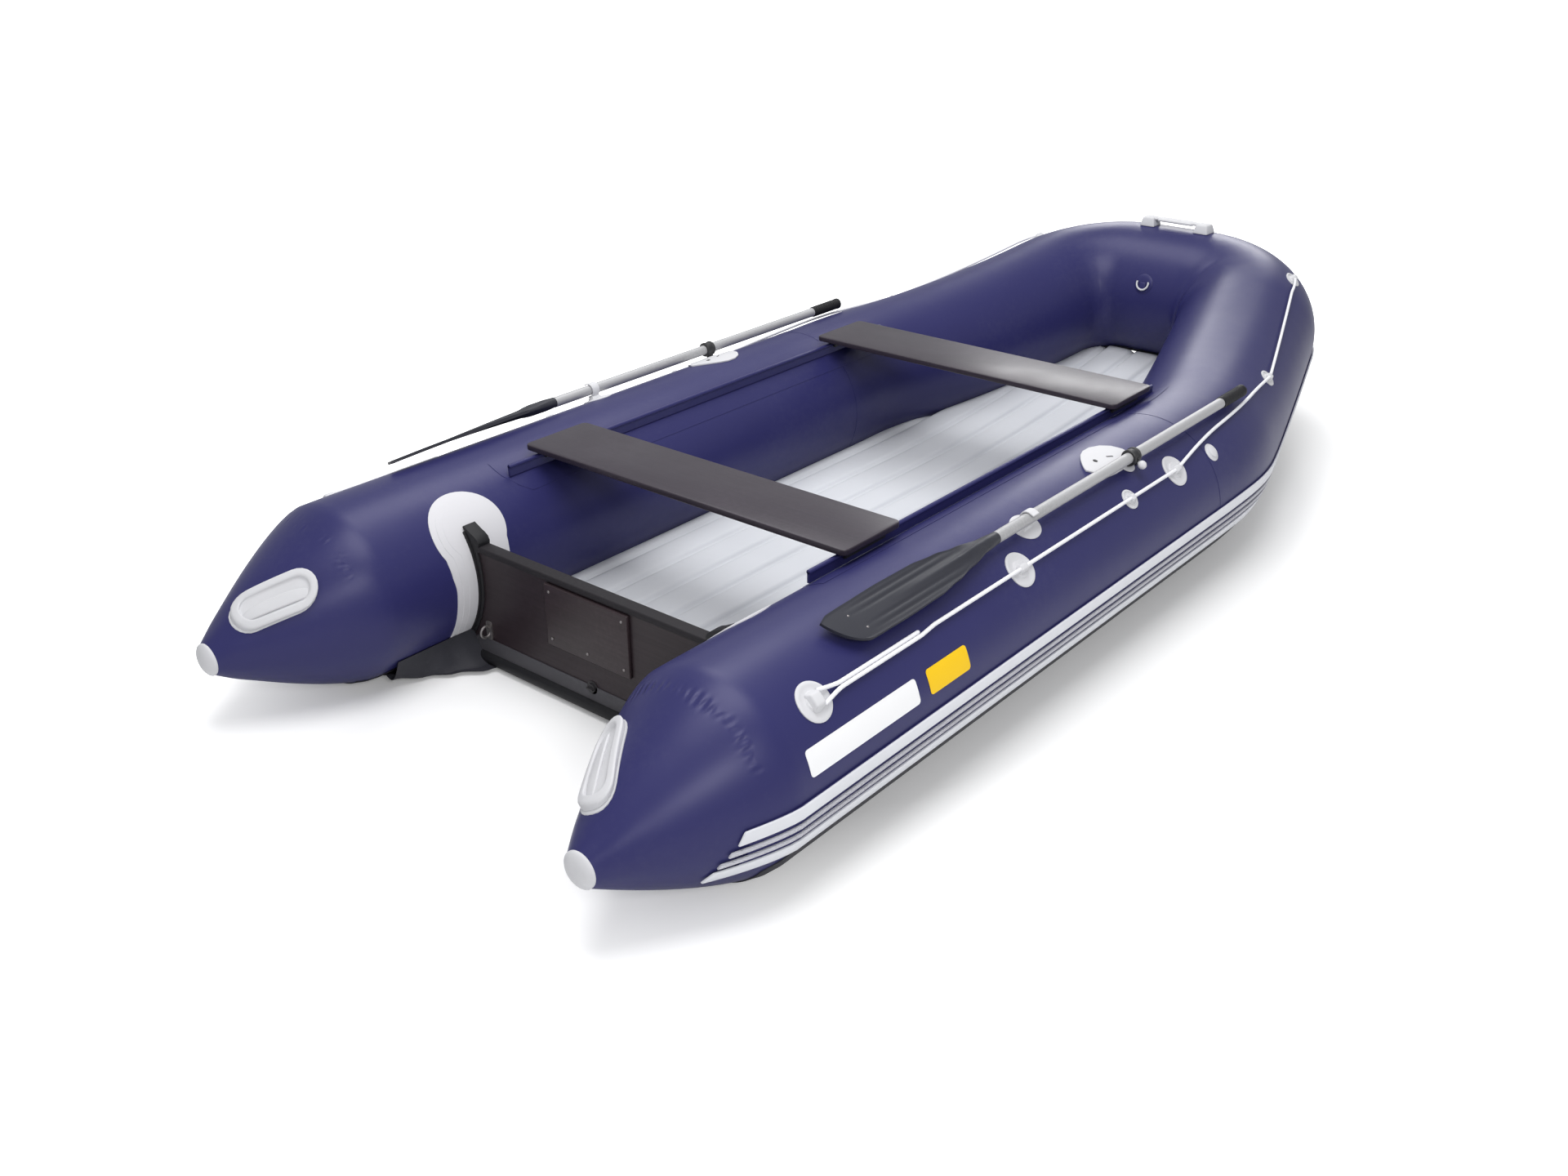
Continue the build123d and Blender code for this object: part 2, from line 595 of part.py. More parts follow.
def oar_collar():
    """Swivel ring round the shaft with a round knob outboard and a bored hub below."""
    ring = extrude(along_oar(-COLLAR_LENGTH / 2) * (Circle(COLLAR_R) - Circle(OAR_SHAFT_R)),
                   COLLAR_LENGTH)
    frame = oar_frame()
    hub_low = -(OAR_LIFT - OARLOCK_PAD_T - HUB_CLEAR)
    hub = Plane(origin=frame.origin + frame.z_dir * hub_low, x_dir=frame.x_dir, z_dir=frame.z_dir)
    post = extrude(hub * Circle(PIN_R + PIN_PLAY + HUB_WALL), -hub_low - OAR_SHAFT_R + 1)
    post -= extrude(along_oar(-COLLAR_LENGTH) * Circle(OAR_SHAFT_R), 2 * COLLAR_LENGTH)
    bore = extrude(hub * Circle(PIN_R + PIN_PLAY), -hub_low - OAR_SHAFT_R - 1)
    return ring + post - bore


def oar_knob():
    """Round nut on the outboard side of the swivel ring."""
    frame = oar_frame()
    side = frame.y_dir * -1
    neck = Plane(origin=frame.origin + side * (COLLAR_R - 2), x_dir=frame.x_dir, z_dir=side)
    ball = Pos(*(frame.origin + side * (COLLAR_R + 6 + KNOB_R * 0.7))) * Sphere(KNOB_R)
    ring = extrude(along_oar(-COLLAR_LENGTH) * Circle(COLLAR_R), 2 * COLLAR_LENGTH)
    return extrude(neck * Circle(KNOB_NECK_R), 9) + ball - ring


def oarlock_pad(tube):
    """Moulded pad glued to the tube under the swivel ring."""
    lowest = skin_plane(OAR_ANGLE, TUBE_R - 30, x=OAR_PIN_X)
    corners = [(52, -20), (58, 18), (20, 66), (-48, 78), (-100, 62), (-88, -16)]
    outline = make_face(Polyline(corners, close=True))
    block = extrude(lowest * fillet(outline.vertices(), 12), 30 + OARLOCK_PAD_T)
    cover = side_run(Circle(TUBE_R + OARLOCK_PAD_T), OAR_PIN_X - 200, OAR_PIN_X + 200)
    return (block & cover) - tube


def oarlock_pin():
    """Post that stands out of the pad into the swivel ring's hub."""
    foot = skin_plane(OAR_ANGLE, TUBE_R + OARLOCK_PAD_T, x=OAR_PIN_X)
    height = OAR_LIFT - OARLOCK_PAD_T - OAR_SHAFT_R - HUB_CLEAR
    return extrude(foot * Circle(PIN_R), height)


def oar_clip(tube):
    """Hook that holds the stowed shaft, open on its outboard side."""
    long, wide, thick = CLIP_BASE
    base = skin_plane(OAR_ANGLE, TUBE_R - 12, x=OAR_CLIP_X)
    disc = extrude(base * Ellipse(long, wide), 12 + thick)
    axis = skin_plane(OAR_ANGLE, TUBE_R + OAR_LIFT, x=OAR_CLIP_X)
    end = Plane(origin=axis.origin - axis.x_dir * (CLIP_SPAN / 2), x_dir=axis.y_dir,
                z_dir=axis.x_dir)
    inner = OAR_SHAFT_R + CLIP_GAP
    outer = inner + CLIP_HOOK_T
    hook = Circle(outer) + Pos(-outer / 2, 0) * Rectangle(outer, 2 * outer)
    hook -= Circle(inner) + Pos(-outer, 0) * Rectangle(2 * outer, 2 * inner)
    foot = Pos(0, -(outer + OAR_LIFT) / 2) * Rectangle(CLIP_FOOT_W, OAR_LIFT - outer + 4)
    return disc + extrude(end * (hook + foot), CLIP_SPAN) - tube


def rope_angle(run):
    """Where the taut rope lies round the tube at a run: it climbs over the side's bend."""
    first, last = BOW_PATCH_RUNS
    if run < ROPE_BEND_RUN:
        return ROPE_ANGLE
    if run < first:
        share = (run - ROPE_BEND_RUN) / (first - ROPE_BEND_RUN)
        return ROPE_ANGLE + ROPE_CLIMB * sin(pi * share)
    share = min(1.0, (run - first) / (last - first))
    return ROPE_ANGLE + (ROPE_BOW_ANGLE - ROPE_ANGLE) * share


def rope_at(run, radius):
    """Round section of the rope's path at a run."""
    angle = radians(rope_angle(run))
    reach = TUBE_R + ROPE_LIFT
    return station(run) * (Pos(reach * cos(angle), reach * sin(angle)) * Circle(radius))


def rope_path(radius, first, last):
    """Body of the rope's path between two runs."""
    count = max(2, round((last - first) / ROPE_STEP))
    runs = [first + (last - first) * n / count for n in range(count + 1)]
    return loft([rope_at(run, radius) for run in runs], ruled=True)


def rope_run(radius, overrun):
    """Body of the rope's whole way, from the aft patch to the last patch at the bow."""
    reach = TUBE_R + ROPE_LIFT
    angle = radians(ROPE_ANGLE)
    section = Pos(reach * cos(angle), reach * sin(angle)) * Circle(radius)
    straight = side_run(section, LARGE_PATCHES_X[0] - overrun, LARGE_PATCHES_X[-1])
    last = BOW_PATCH_RUNS[-1]
    bent = rope_path(radius, ROPE_BEND_RUN, last)
    end = extrude(rope_at(last, radius), overrun, dir=-station(last).z_dir)
    return straight + bent + end


def line_patch(radius, tube, hole, run):
    """Round patch with a raised eye that the rope runs through."""
    base = skin_plane(rope_angle(run), TUBE_R - 12, run=run)
    disc = extrude(base * Circle(radius), 12 + 3)
    eye = extrude(base * RectangleRounded(radius * 0.8, 24, 6), 12 + ROPE_LIFT + ROPE_R + 3)
    return disc + eye - tube - hole


def line_patches(tubes):
    """All lifeline patches on the starboard side."""
    places = [(LARGE_PATCH_R, x - BEND_X) for x in LARGE_PATCHES_X]
    places += [(SMALL_PATCH_R, run) for run in (SMALL_PATCH_X - BEND_X, *BOW_PATCH_RUNS)]
    hole = rope_run(ROPE_R + EYE_PLAY, ROPE_STEP)
    patches = [line_patch(radius, tubes, hole, run) for radius, run in places]
    return Compound([patch.solids().sort_by(SortBy.VOLUME)[-1] for patch in patches])


def air_valve(tubes):
    """Round valve with a flat cap."""
    base = skin_plane(VALVE_ANGLE, TUBE_R - 10, x=VALVE_X)
    flange = extrude(base * Circle(VALVE_R), 13)
    cap = extrude(base * Circle(VALVE_R * 0.62), 18)
    return flange + cap - tubes


def panel(span):
    """Blank rectangle of coated fabric above the strake."""
    band = ring_sector(TUBE_R, TUBE_R + PANEL_T, *PANEL_ANGLES)
    return side_run(band, CONE_X + span[0], CONE_X + span[1])


def stern_handle(tube):
    """Moulded carrying handle on the inner side of the cone: a grip bar in a deep oval cup."""
    x = CONE_X - HANDLE_SETBACK
    out = Vector(0, -cos(radians(HANDLE_ANGLE)), sin(radians(HANDLE_ANGLE)))
    centre, ahead = (Vector(place, -HALF_SPAN, AXIS_Z - cone_drop(place)) + out * cone_radius(place)
                     for place in (x, x + HANDLE_WALL[0] / 3))
    along = (ahead - centre).normalized()
    normal = (out - along * out.dot(along)).normalized()

    def slot_body(size, low, high):
        plane = Plane(origin=centre + normal * low, x_dir=along, z_dir=normal)
        return extrude(plane * SlotOverall(size[0], size[1]), high - low)
    sunk = -10
    cup = slot_body(HANDLE_FLANGE, sunk, HANDLE_FLANGE[2]) + slot_body(HANDLE_WALL, sunk, HANDLE_WALL[2])
    cup -= slot_body(HANDLE_RECESS, HANDLE_RECESS[2], 2 * HANDLE_WALL[2])
    reach = HANDLE_RECESS[0] + 4
    start = centre + normal * HANDLE_BAR_LIFT - along * (reach / 2)
    bar = extrude(Plane(origin=start, x_dir=normal, z_dir=along) * Circle(HANDLE_BAR_R), reach)
    return cup + bar - tube


def bow_handle(tube):
    """Moulded lifting handle across the top of the bow: a grip between two blocks on a plate."""
    long, wide, thick = BOW_HANDLE_PLATE
    sunk = 14
    base = Plane(origin=(FRONT_X, 0, AXIS_Z + SHEER_RISE + TUBE_R - sunk), x_dir=(0, 1, 0),
                 z_dir=(0, 0, 1))
    foot = extrude(base * RectangleRounded(long, wide, 30), sunk + thick)
    under_grip = sunk + thick + BOW_HANDLE_GAP
    grip_plane = Plane(origin=base.origin + Vector(0, 0, under_grip), x_dir=(0, 1, 0), z_dir=(0, 0, 1))
    block_long, block_wide = BOW_HANDLE_BLOCK
    place = (long - block_long) / 2 - 7
    grip = extrude(grip_plane * Rectangle(2 * place, BOW_HANDLE_GRIP[0]), BOW_HANDLE_GRIP[1])
    blocks = [extrude(base * Pos(y, 0) * RectangleRounded(block_long, block_wide, 10),
                      under_grip + BOW_HANDLE_GRIP[1]) for y in (-place, place)]
    return foot + grip + blocks - tube


def eye_ring(angle, skin_radius):
    """Round patch with a standing ring, on the straight front of the bow tube."""
    front = station(HALF_RUN)
    keep_out = extrude(front * Circle(skin_radius), FRONT_FLAT / 2, both=True)
    base = skin_plane(angle, skin_radius - 8, run=HALF_RUN)
    disc = extrude(base * Circle(RING_PATCH_R), 11)
    lift = skin_plane(angle, skin_radius + RING_R - 3, run=HALF_RUN)
    stand = Plane(origin=lift.origin, x_dir=lift.z_dir, z_dir=lift.x_dir)
    return disc + stand * Torus(RING_R, RING_BAR_R) - keep_out


def keel_guards(bottom):
    """Three wear strips along the flat of the bottom."""
    strips = []
    length = SHEER_X - TRANSOM_FORE_X - 2 * GUARD_SETIN
    for y in (-GUARD_SPACING / 2, 0, GUARD_SPACING / 2):
        bar = Pos((TRANSOM_FORE_X + SHEER_X) / 2, y, BOTTOM_CLEAR / 2) * Box(
            length, GUARD_WIDTH, BOTTOM_CLEAR)
        strips.append((bar - bottom).solids().sort_by(SortBy.VOLUME)[-1])
    return Compound(strips)


def save(name, shape):
    """Write one named piece."""
    export_step(shape, "parts/" + name + ".step")


def main():
    """Build every piece and write it."""
    os.makedirs("parts", exist_ok=True)
    starboard_tube = side_tube()
    port_tube = port(starboard_tube)
    bow_tube = bow_loft(lambda run: Circle(TUBE_R))
    wrap_side = side_run(wear_skin_section(), CONE_X)
    wrap_bow = bow_loft(lambda run: wear_skin_section(run, GLUE))
    save("port_tube", port_tube)
    save("starboard_tube", starboard_tube)
    save("bow_tube", bow_tube)
    save("port_cone_cap", port(cone_cap()))
    save("starboard_cone_cap", cone_cap())
    save("starboard_wear_skin", wrap_side)
    save("port_wear_skin", port(wrap_side))
    save("bow_wear_skin", wrap_bow)
    tubes = [starboard_tube, port_tube, bow_tube]
    skins = [wrap_side, port(wrap_side), wrap_bow]
    bottom = hull_bottom(tubes + skins).solids().sort_by(SortBy.VOLUME)[-1]
    board = transom()
    socket = transom_socket() - board
    patch = transom_patch()
    fittings = [socket, port(socket), patch, port(patch)]
    floor = air_floor(tubes, wrap_bow, fittings)
    save("hull_bottom", bottom)
    save("air_floor", floor.solids().sort_by(SortBy.VOLUME)[-1])
    save("keel_guards", keel_guards(bottom))
    save("rub_strake", strake_band(0, STRAKE_WIDTH, GLUE, STRAKE_T, STRAKE_AFT_X))
    save("strake_ribs", strake_ribs())

    plate_z = TRANSOM_TOP - PLATE_TOP_GAP
    save("transom", board)
    save("transom_outer_plate", plate(MOTOR_PLATE, TRANSOM_AFT_X - MOTOR_PLATE[0],
                                      plate_z - MOTOR_PLATE[2] / 2))
    save("transom_inner_plate", plate(INNER_PLATE, TRANSOM_FORE_X, plate_z - INNER_PLATE[2] / 2))
    save("transom_lip", transom_lip())
    save("drain_plug", drain_plug())
    ring_y = HALF_SPAN - TOW_RING_INSET
    save("stern_tow_rings", Compound([tow_ring(y, TOW_RING_Z).solid() for y in (-ring_y, ring_y)]))
    for side, turn in (("starboard", lambda shape: shape), ("port", port)):
        save(side + "_transom_socket", turn(socket))
        save(side + "_transom_patch", turn(patch))
        save(side + "_seat_track", turn(seat_track([starboard_tube, bow_tube])))
        save(side + "_stern_handle", turn(stern_handle(starboard_tube)))
        save(side + "_oar_shaft", turn(oar_shaft()))
        save(side + "_oar_grip", turn(oar_grip()))
        save(side + "_oar_blade", turn(oar_blade()))
        save(side + "_oar_collar", turn(oar_collar()))
        save(side + "_oar_knob", turn(oar_knob()))
        save(side + "_oarlock_pad", turn(oarlock_pad(starboard_tube)))
        save(side + "_oarlock_pin", turn(oarlock_pin()))
        save(side + "_oar_clip", turn(oar_clip(starboard_tube)))
        save(side + "_lifeline", turn(rope_run(ROPE_R, ROPE_OVERRUN)))
        save(side + "_line_patches", turn(line_patches([starboard_tube, bow_tube])))

    save("aft_seat", seat(AFT_SEAT_AFT_X, AFT_SEAT_WIDTH))
    save("aft_seat_clips", seat_clips(AFT_SEAT_AFT_X, AFT_SEAT_WIDTH))
    save("fore_seat", seat(FORE_SEAT_AFT_X, FORE_SEAT_WIDTH))
    save("fore_seat_clips", seat_clips(FORE_SEAT_AFT_X, FORE_SEAT_WIDTH))
    valve = air_valve([starboard_tube, bow_tube])
    save("air_valves", Compound([valve.solid(), port(valve).solid()]))
    for name, span in (("name_panels", NAME_PANEL), ("number_panels", NUMBER_PANEL)):
        save(name, Compound([panel(span).solid(), port(panel(span)).solid()]))
    save("bow_handle", bow_handle(bow_tube))
    save("bow_inner_ring", eye_ring(INNER_RING_ANGLE, TUBE_R + GLUE))
    save("bow_tow_ring", eye_ring(TOW_EYE_ANGLE, TUBE_R + WEAR_SKIN + GLUE))


main()
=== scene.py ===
"""Looks of an inflatable boat: coated fabric, boards, moulded fittings, oars, ropes and studio."""

import logging
import math
from collections.abc import Callable, Iterable, Iterator, Sequence
from contextlib import contextmanager
from dataclasses import dataclass, field
from enum import Enum
from functools import cached_property
from math import cos, pi, radians, sin, sqrt

import bpy
from mathutils import Matrix, Vector

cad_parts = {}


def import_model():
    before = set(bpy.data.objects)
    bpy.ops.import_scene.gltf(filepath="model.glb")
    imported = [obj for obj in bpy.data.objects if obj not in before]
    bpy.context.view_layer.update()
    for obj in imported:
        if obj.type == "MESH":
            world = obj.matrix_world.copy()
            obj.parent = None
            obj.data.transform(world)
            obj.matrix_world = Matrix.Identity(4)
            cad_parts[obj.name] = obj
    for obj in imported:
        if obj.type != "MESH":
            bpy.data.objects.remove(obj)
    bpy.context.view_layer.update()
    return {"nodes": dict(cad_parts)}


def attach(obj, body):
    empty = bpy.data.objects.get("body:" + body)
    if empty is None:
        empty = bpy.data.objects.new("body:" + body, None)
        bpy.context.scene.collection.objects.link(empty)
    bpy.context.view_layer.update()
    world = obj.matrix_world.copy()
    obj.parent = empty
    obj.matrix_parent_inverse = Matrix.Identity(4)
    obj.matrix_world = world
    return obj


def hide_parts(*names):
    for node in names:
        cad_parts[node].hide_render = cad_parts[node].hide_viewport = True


LOG = logging.getLogger("boat")
Colour = tuple[float, float, float]
Outline = Sequence[tuple[float, float]]
Piece = bpy.types.Object
Socket = bpy.types.NodeSocket
Feed = float | Sequence[float] | Socket


class Side(Enum):
    """Side of the boat, as the sign of its Y."""

    STARBOARD = -1
    PORT = 1

    def of(self, part: str) -> str:
        """Name of a part on this side, as the CAD nodes carry it."""
        return f"{self.name.lower()}_{part}"


class Axis(Enum):
    """Direction in which a piece is cut into slices."""

    X = (1.0, 0.0, 0.0)
    Y = (0.0, 1.0, 0.0)

    @property
    def vector(self) -> Vector:
        """Unit vector of the axis."""
        return Vector(self.value)


# ---- modelling by hand


def deselect() -> None:
    """Leave edit mode and clear the selection."""
    if bpy.context.object and bpy.context.object.mode != "OBJECT":
        bpy.ops.object.mode_set(mode="OBJECT")
    bpy.ops.object.select_all(action="DESELECT")


def activate(obj: Piece) -> None:
    """Select one object and make it the active one.

    Args:
        obj: The piece.
    """
    deselect()
    obj.select_set(True)
    bpy.context.view_layer.objects.active = obj


def named(obj: Piece, name: str) -> Piece:
    """Give a piece and its mesh one name.

    Args:
        obj: The piece.
        name: Its name.

    Returns:
        The piece.
    """
    obj.name = name
    obj.data.name = name
    return obj


def new_piece(name: str) -> Piece:
    """Name the primitive that was just added and settle its place into its mesh."""
    bpy.ops.object.transform_apply(location=True, rotation=True, scale=True)
    return named(bpy.context.object, name)


@contextmanager
def editing(obj: Piece, mode: str = "FACE") -> Iterator[Piece]:
    """Open a piece in edit mode with all of it selected, and close it afterwards.

    Args:
        obj: The piece.
        mode: Select mode, VERT, EDGE or FACE.

    Yields:
        The piece.
    """
    activate(obj)
    bpy.ops.object.mode_set(mode="EDIT")
    bpy.ops.mesh.select_mode(type=mode)
    bpy.ops.mesh.select_all(action="SELECT")
    yield obj
    bpy.ops.object.mode_set(mode="OBJECT")


def pick(obj: Piece, parts: str, test: Callable[..., bool]) -> None:
    """Select only what passes a test, in a piece that is open in edit mode.

    Args:
        obj: The piece.
        parts: What to pick among: vertices, edges or polygons.
        test: Tells whether one of them is picked.
    """
    bpy.ops.mesh.select_all(action="DESELECT")
    bpy.ops.object.mode_set(mode="OBJECT")
    for part in getattr(obj.data, parts):
        part.select = test(part)
    bpy.ops.object.mode_set(mode="EDIT")


def slice_piece(obj: Piece, axis: Axis, places: Iterable[float]) -> None:
    """Cut a piece into slices that stay joined, so that it can follow a curve.

    Args:
        obj: The piece.
        axis: Direction square to the cuts.
        places: Where the cuts lie along it.
    """
    with editing(obj):
        for place in places:
            bpy.ops.mesh.select_all(action="SELECT")
            bpy.ops.mesh.bisect(plane_co=axis.vector * place, plane_no=axis.vector)


def apply_modifier(obj: Piece, kind: str, **settings: float | int | str | bool) -> None:
    """Add a modifier, set it and apply it.

    Args:
        obj: The piece.
        kind: Modifier type.
        **settings: Values of the modifier.
    """
    activate(obj)
    bpy.ops.object.modifier_add(type=kind)
    modifier = obj.modifiers[-1]
    for name, value in settings.items():
        setattr(modifier, name, value)
    bpy.ops.object.modifier_apply(modifier=modifier.name)


def round_edges(obj: Piece, width: float, segments: int = 2, angle: float = 35.0) -> None:
    """Bevel the sharp edges of a piece."""
    apply_modifier(obj, "BEVEL", width=width, segments=segments, limit_method="ANGLE",
                   angle_limit=radians(angle), harden_normals=False)


def face_outwards(obj: Piece, merge: bool = True) -> None:
    """Turn every face of a closed piece outwards.

    Args:
        obj: The piece.
        merge: Merge its doubles first.
    """
    with editing(obj, "VERT"):
        if merge:
            bpy.ops.mesh.remove_doubles(threshold=0.00005)
        bpy.ops.mesh.normals_make_consistent(inside=False)


def flip(obj: Piece) -> None:
    """Turn the faces of a mirrored piece round."""
    with editing(obj):
        bpy.ops.mesh.flip_normals()


def cut_out(obj: Piece, cutter: Piece) -> None:
    """Cut one piece out of another and drop the cutter."""
    apply_modifier(obj, "BOOLEAN", operation="DIFFERENCE", object=cutter, solver="EXACT")
    bpy.data.objects.remove(cutter)


def close_roll(obj: Piece, seam: float) -> None:
    """Join the long edges of a rolled sheet and fill its two ends.

    Args:
        obj: The sheet.
        seam: How far apart the edges may lie.
    """
    with editing(obj, "VERT"):
        bpy.ops.mesh.remove_doubles(threshold=seam)
        bpy.ops.mesh.select_all(action="DESELECT")
        bpy.ops.mesh.select_non_manifold(extend=False)
        bpy.ops.mesh.fill()


def join(name: str, pieces: Sequence[Piece]) -> Piece:
    """Join pieces into one object.

    Args:
        name: Name of the joined object.
        pieces: The pieces, of which the first takes in the rest.

    Returns:
        The joined object.
    """
    deselect()
    for piece in pieces:
        piece.select_set(True)
    bpy.context.view_layer.objects.active = pieces[0]
    bpy.ops.object.join()
    return named(pieces[0], name)


def copy_of(obj: Piece, name: str) -> Piece:
    """Duplicate a piece with a mesh of its own.

    Args:
        obj: The piece.
        name: Name of the copy.

    Returns:
        The copy.
    """
    activate(obj)
    bpy.ops.object.duplicate(linked=False)
    return named(bpy.context.object, name)


def block(name: str, low: Sequence[float], high: Sequence[float]) -> Piece:
    """Box between two corners.

    Args:
        name: Name of the piece.
        low: Its lowest corner.
        high: Its highest corner.

    Returns:
        The box.
    """
    middle = [(a + b) / 2 for a, b in zip(low, high)]
    size = [b - a for a, b in zip(low, high)]
    bpy.ops.mesh.primitive_cube_add(size=1.0, location=middle, scale=size)
    return new_piece(name)


def taper(obj: Piece, share: tuple[float, float], top: bool = True) -> None:
    """Draw in or widen the top or the underside of a block round its middle.

    Args:
        obj: The block.
        share: Size of the face in X and Y, as a share of what it was.
        top: Change the top, and not the underside.
    """
    sign = 1.0 if top else -1.0
    with editing(obj):
        pick(obj, "polygons", lambda face: sign * face.normal.z > 0.5)
        middle = next(face.center.copy() for face in obj.data.polygons if sign * face.normal.z > 0.5)
        bpy.ops.transform.resize(value=(*share, 1), center_override=middle)


def cloth(name: str, low: tuple[float, float], high: tuple[float, float],
          pitch: tuple[float, float]) -> Piece:
    """Flat sheet, divided evenly.

    Args:
        name: Name of the piece.
        low: Lowest X and Y.
        high: Highest X and Y.
        pitch: Rough size of a division in X and Y.

    Returns:
        The sheet, at height 0.
    """
    wide, tall = high[0] - low[0], high[1] - low[1]
    bpy.ops.mesh.primitive_grid_add(
        x_subdivisions=max(2, round(wide / pitch[0])), y_subdivisions=max(2, round(tall / pitch[1])),
        size=1.0, location=((low[0] + high[0]) / 2, (low[1] + high[1]) / 2, 0))
    obj = bpy.context.object
    obj.scale = (wide, tall, 1.0)
    return new_piece(name)


def cut_plate(name: str, outline: Outline, low: float, high: float) -> Piece:
    """Flat plate cut to an outline.

    Args:
        name: Name of the piece.
        outline: Corners in X and Y, anticlockwise.
        low: Height of its underside.
        high: Height of its top.

    Returns:
        The closed plate.
    """
    bpy.ops.mesh.primitive_circle_add(vertices=len(outline), radius=0.01, fill_type="NGON")
    obj = new_piece(name)
    for vertex, (x, y) in zip(obj.data.vertices, outline):
        vertex.co = (x, y, low)
    with editing(obj):
        bpy.ops.mesh.extrude_region_move(TRANSFORM_OT_translate={"value": (0, 0, high - low)})
    face_outwards(obj)
    return obj


def turned(name: str, profile: Outline, segments: int = 32) -> Piece:
    """Piece turned round the Z axis.

    Args:
        name: Name of the piece.
        profile: Radius and height of each ring, from one end to the other.
        segments: Corners of each ring.

    Returns:
        The closed piece.
    """
    radius, height = profile[0]
    bpy.ops.mesh.primitive_circle_add(vertices=segments, radius=radius, fill_type="NGON",
                                      location=(0, 0, height))
    obj = new_piece(name)
    with editing(obj):
        for (old_r, old_z), (new_r, new_z) in zip(profile, profile[1:]):
            bpy.ops.mesh.extrude_region_move(TRANSFORM_OT_translate={"value": (0, 0, new_z - old_z)})
            share = new_r / old_r
            if abs(share - 1) > 1e-6:
                bpy.ops.transform.resize(value=(share, share, 1), center_override=(0, 0, new_z))
    face_outwards(obj)
    return obj


def reshape(obj: Piece, move: Callable[[Vector], Vector]) -> None:
    """Move every point of a piece.

    Args:
        obj: The piece.
        move: Gives a point's new place from its old one.
    """
    for vertex in obj.data.vertices:
        vertex.co = move(vertex.co.copy())


def steps(first: float, last: float, pitch: float) -> list[float]:
    """Evenly spaced values strictly between two ends."""
    count = max(1, round((last - first) / pitch))
    return [first + (last - first) * n / count for n in range(1, count)]


def mix(table: Outline, place: float) -> float:
    """Value between the entries of a table of places and values, smoothly joined.

    Args:
        table: Places and their values, in order of place.
        place: Where the value is wanted.

    Returns:
        The value.
    """
    if place <= table[0][0]:
        return table[0][1]
    for (x0, y0), (x1, y1) in zip(table, table[1:]):
        if place <= x1:
            share = (place - x0) / (x1 - x0)
            share = share * share * (3 - 2 * share)
            return y0 + (y1 - y0) * share
    return table[-1][1]


def dome(distance: float, width: float) -> float:
    """Bell of height 1 and the given half width."""
    return math.exp(-((distance / width) ** 2))


# ---- the hull's line


@dataclass(frozen=True)
class Section:
    """One section of an air chamber, square to its line."""

    centre: Vector
    outboard: Vector
    up: Vector
    radius: float

    def point(self, angle: float, height: float) -> Vector:
        """Point at an angle round the section, a height off the fabric.

        Args:
            angle: Angle round the tube.
            height: Height off the fabric.

        Returns:
            The point.
        """
        reach = self.radius + height
        return (self.centre + self.outboard * (reach * cos(angle))
                + self.up * (reach * sin(angle)))


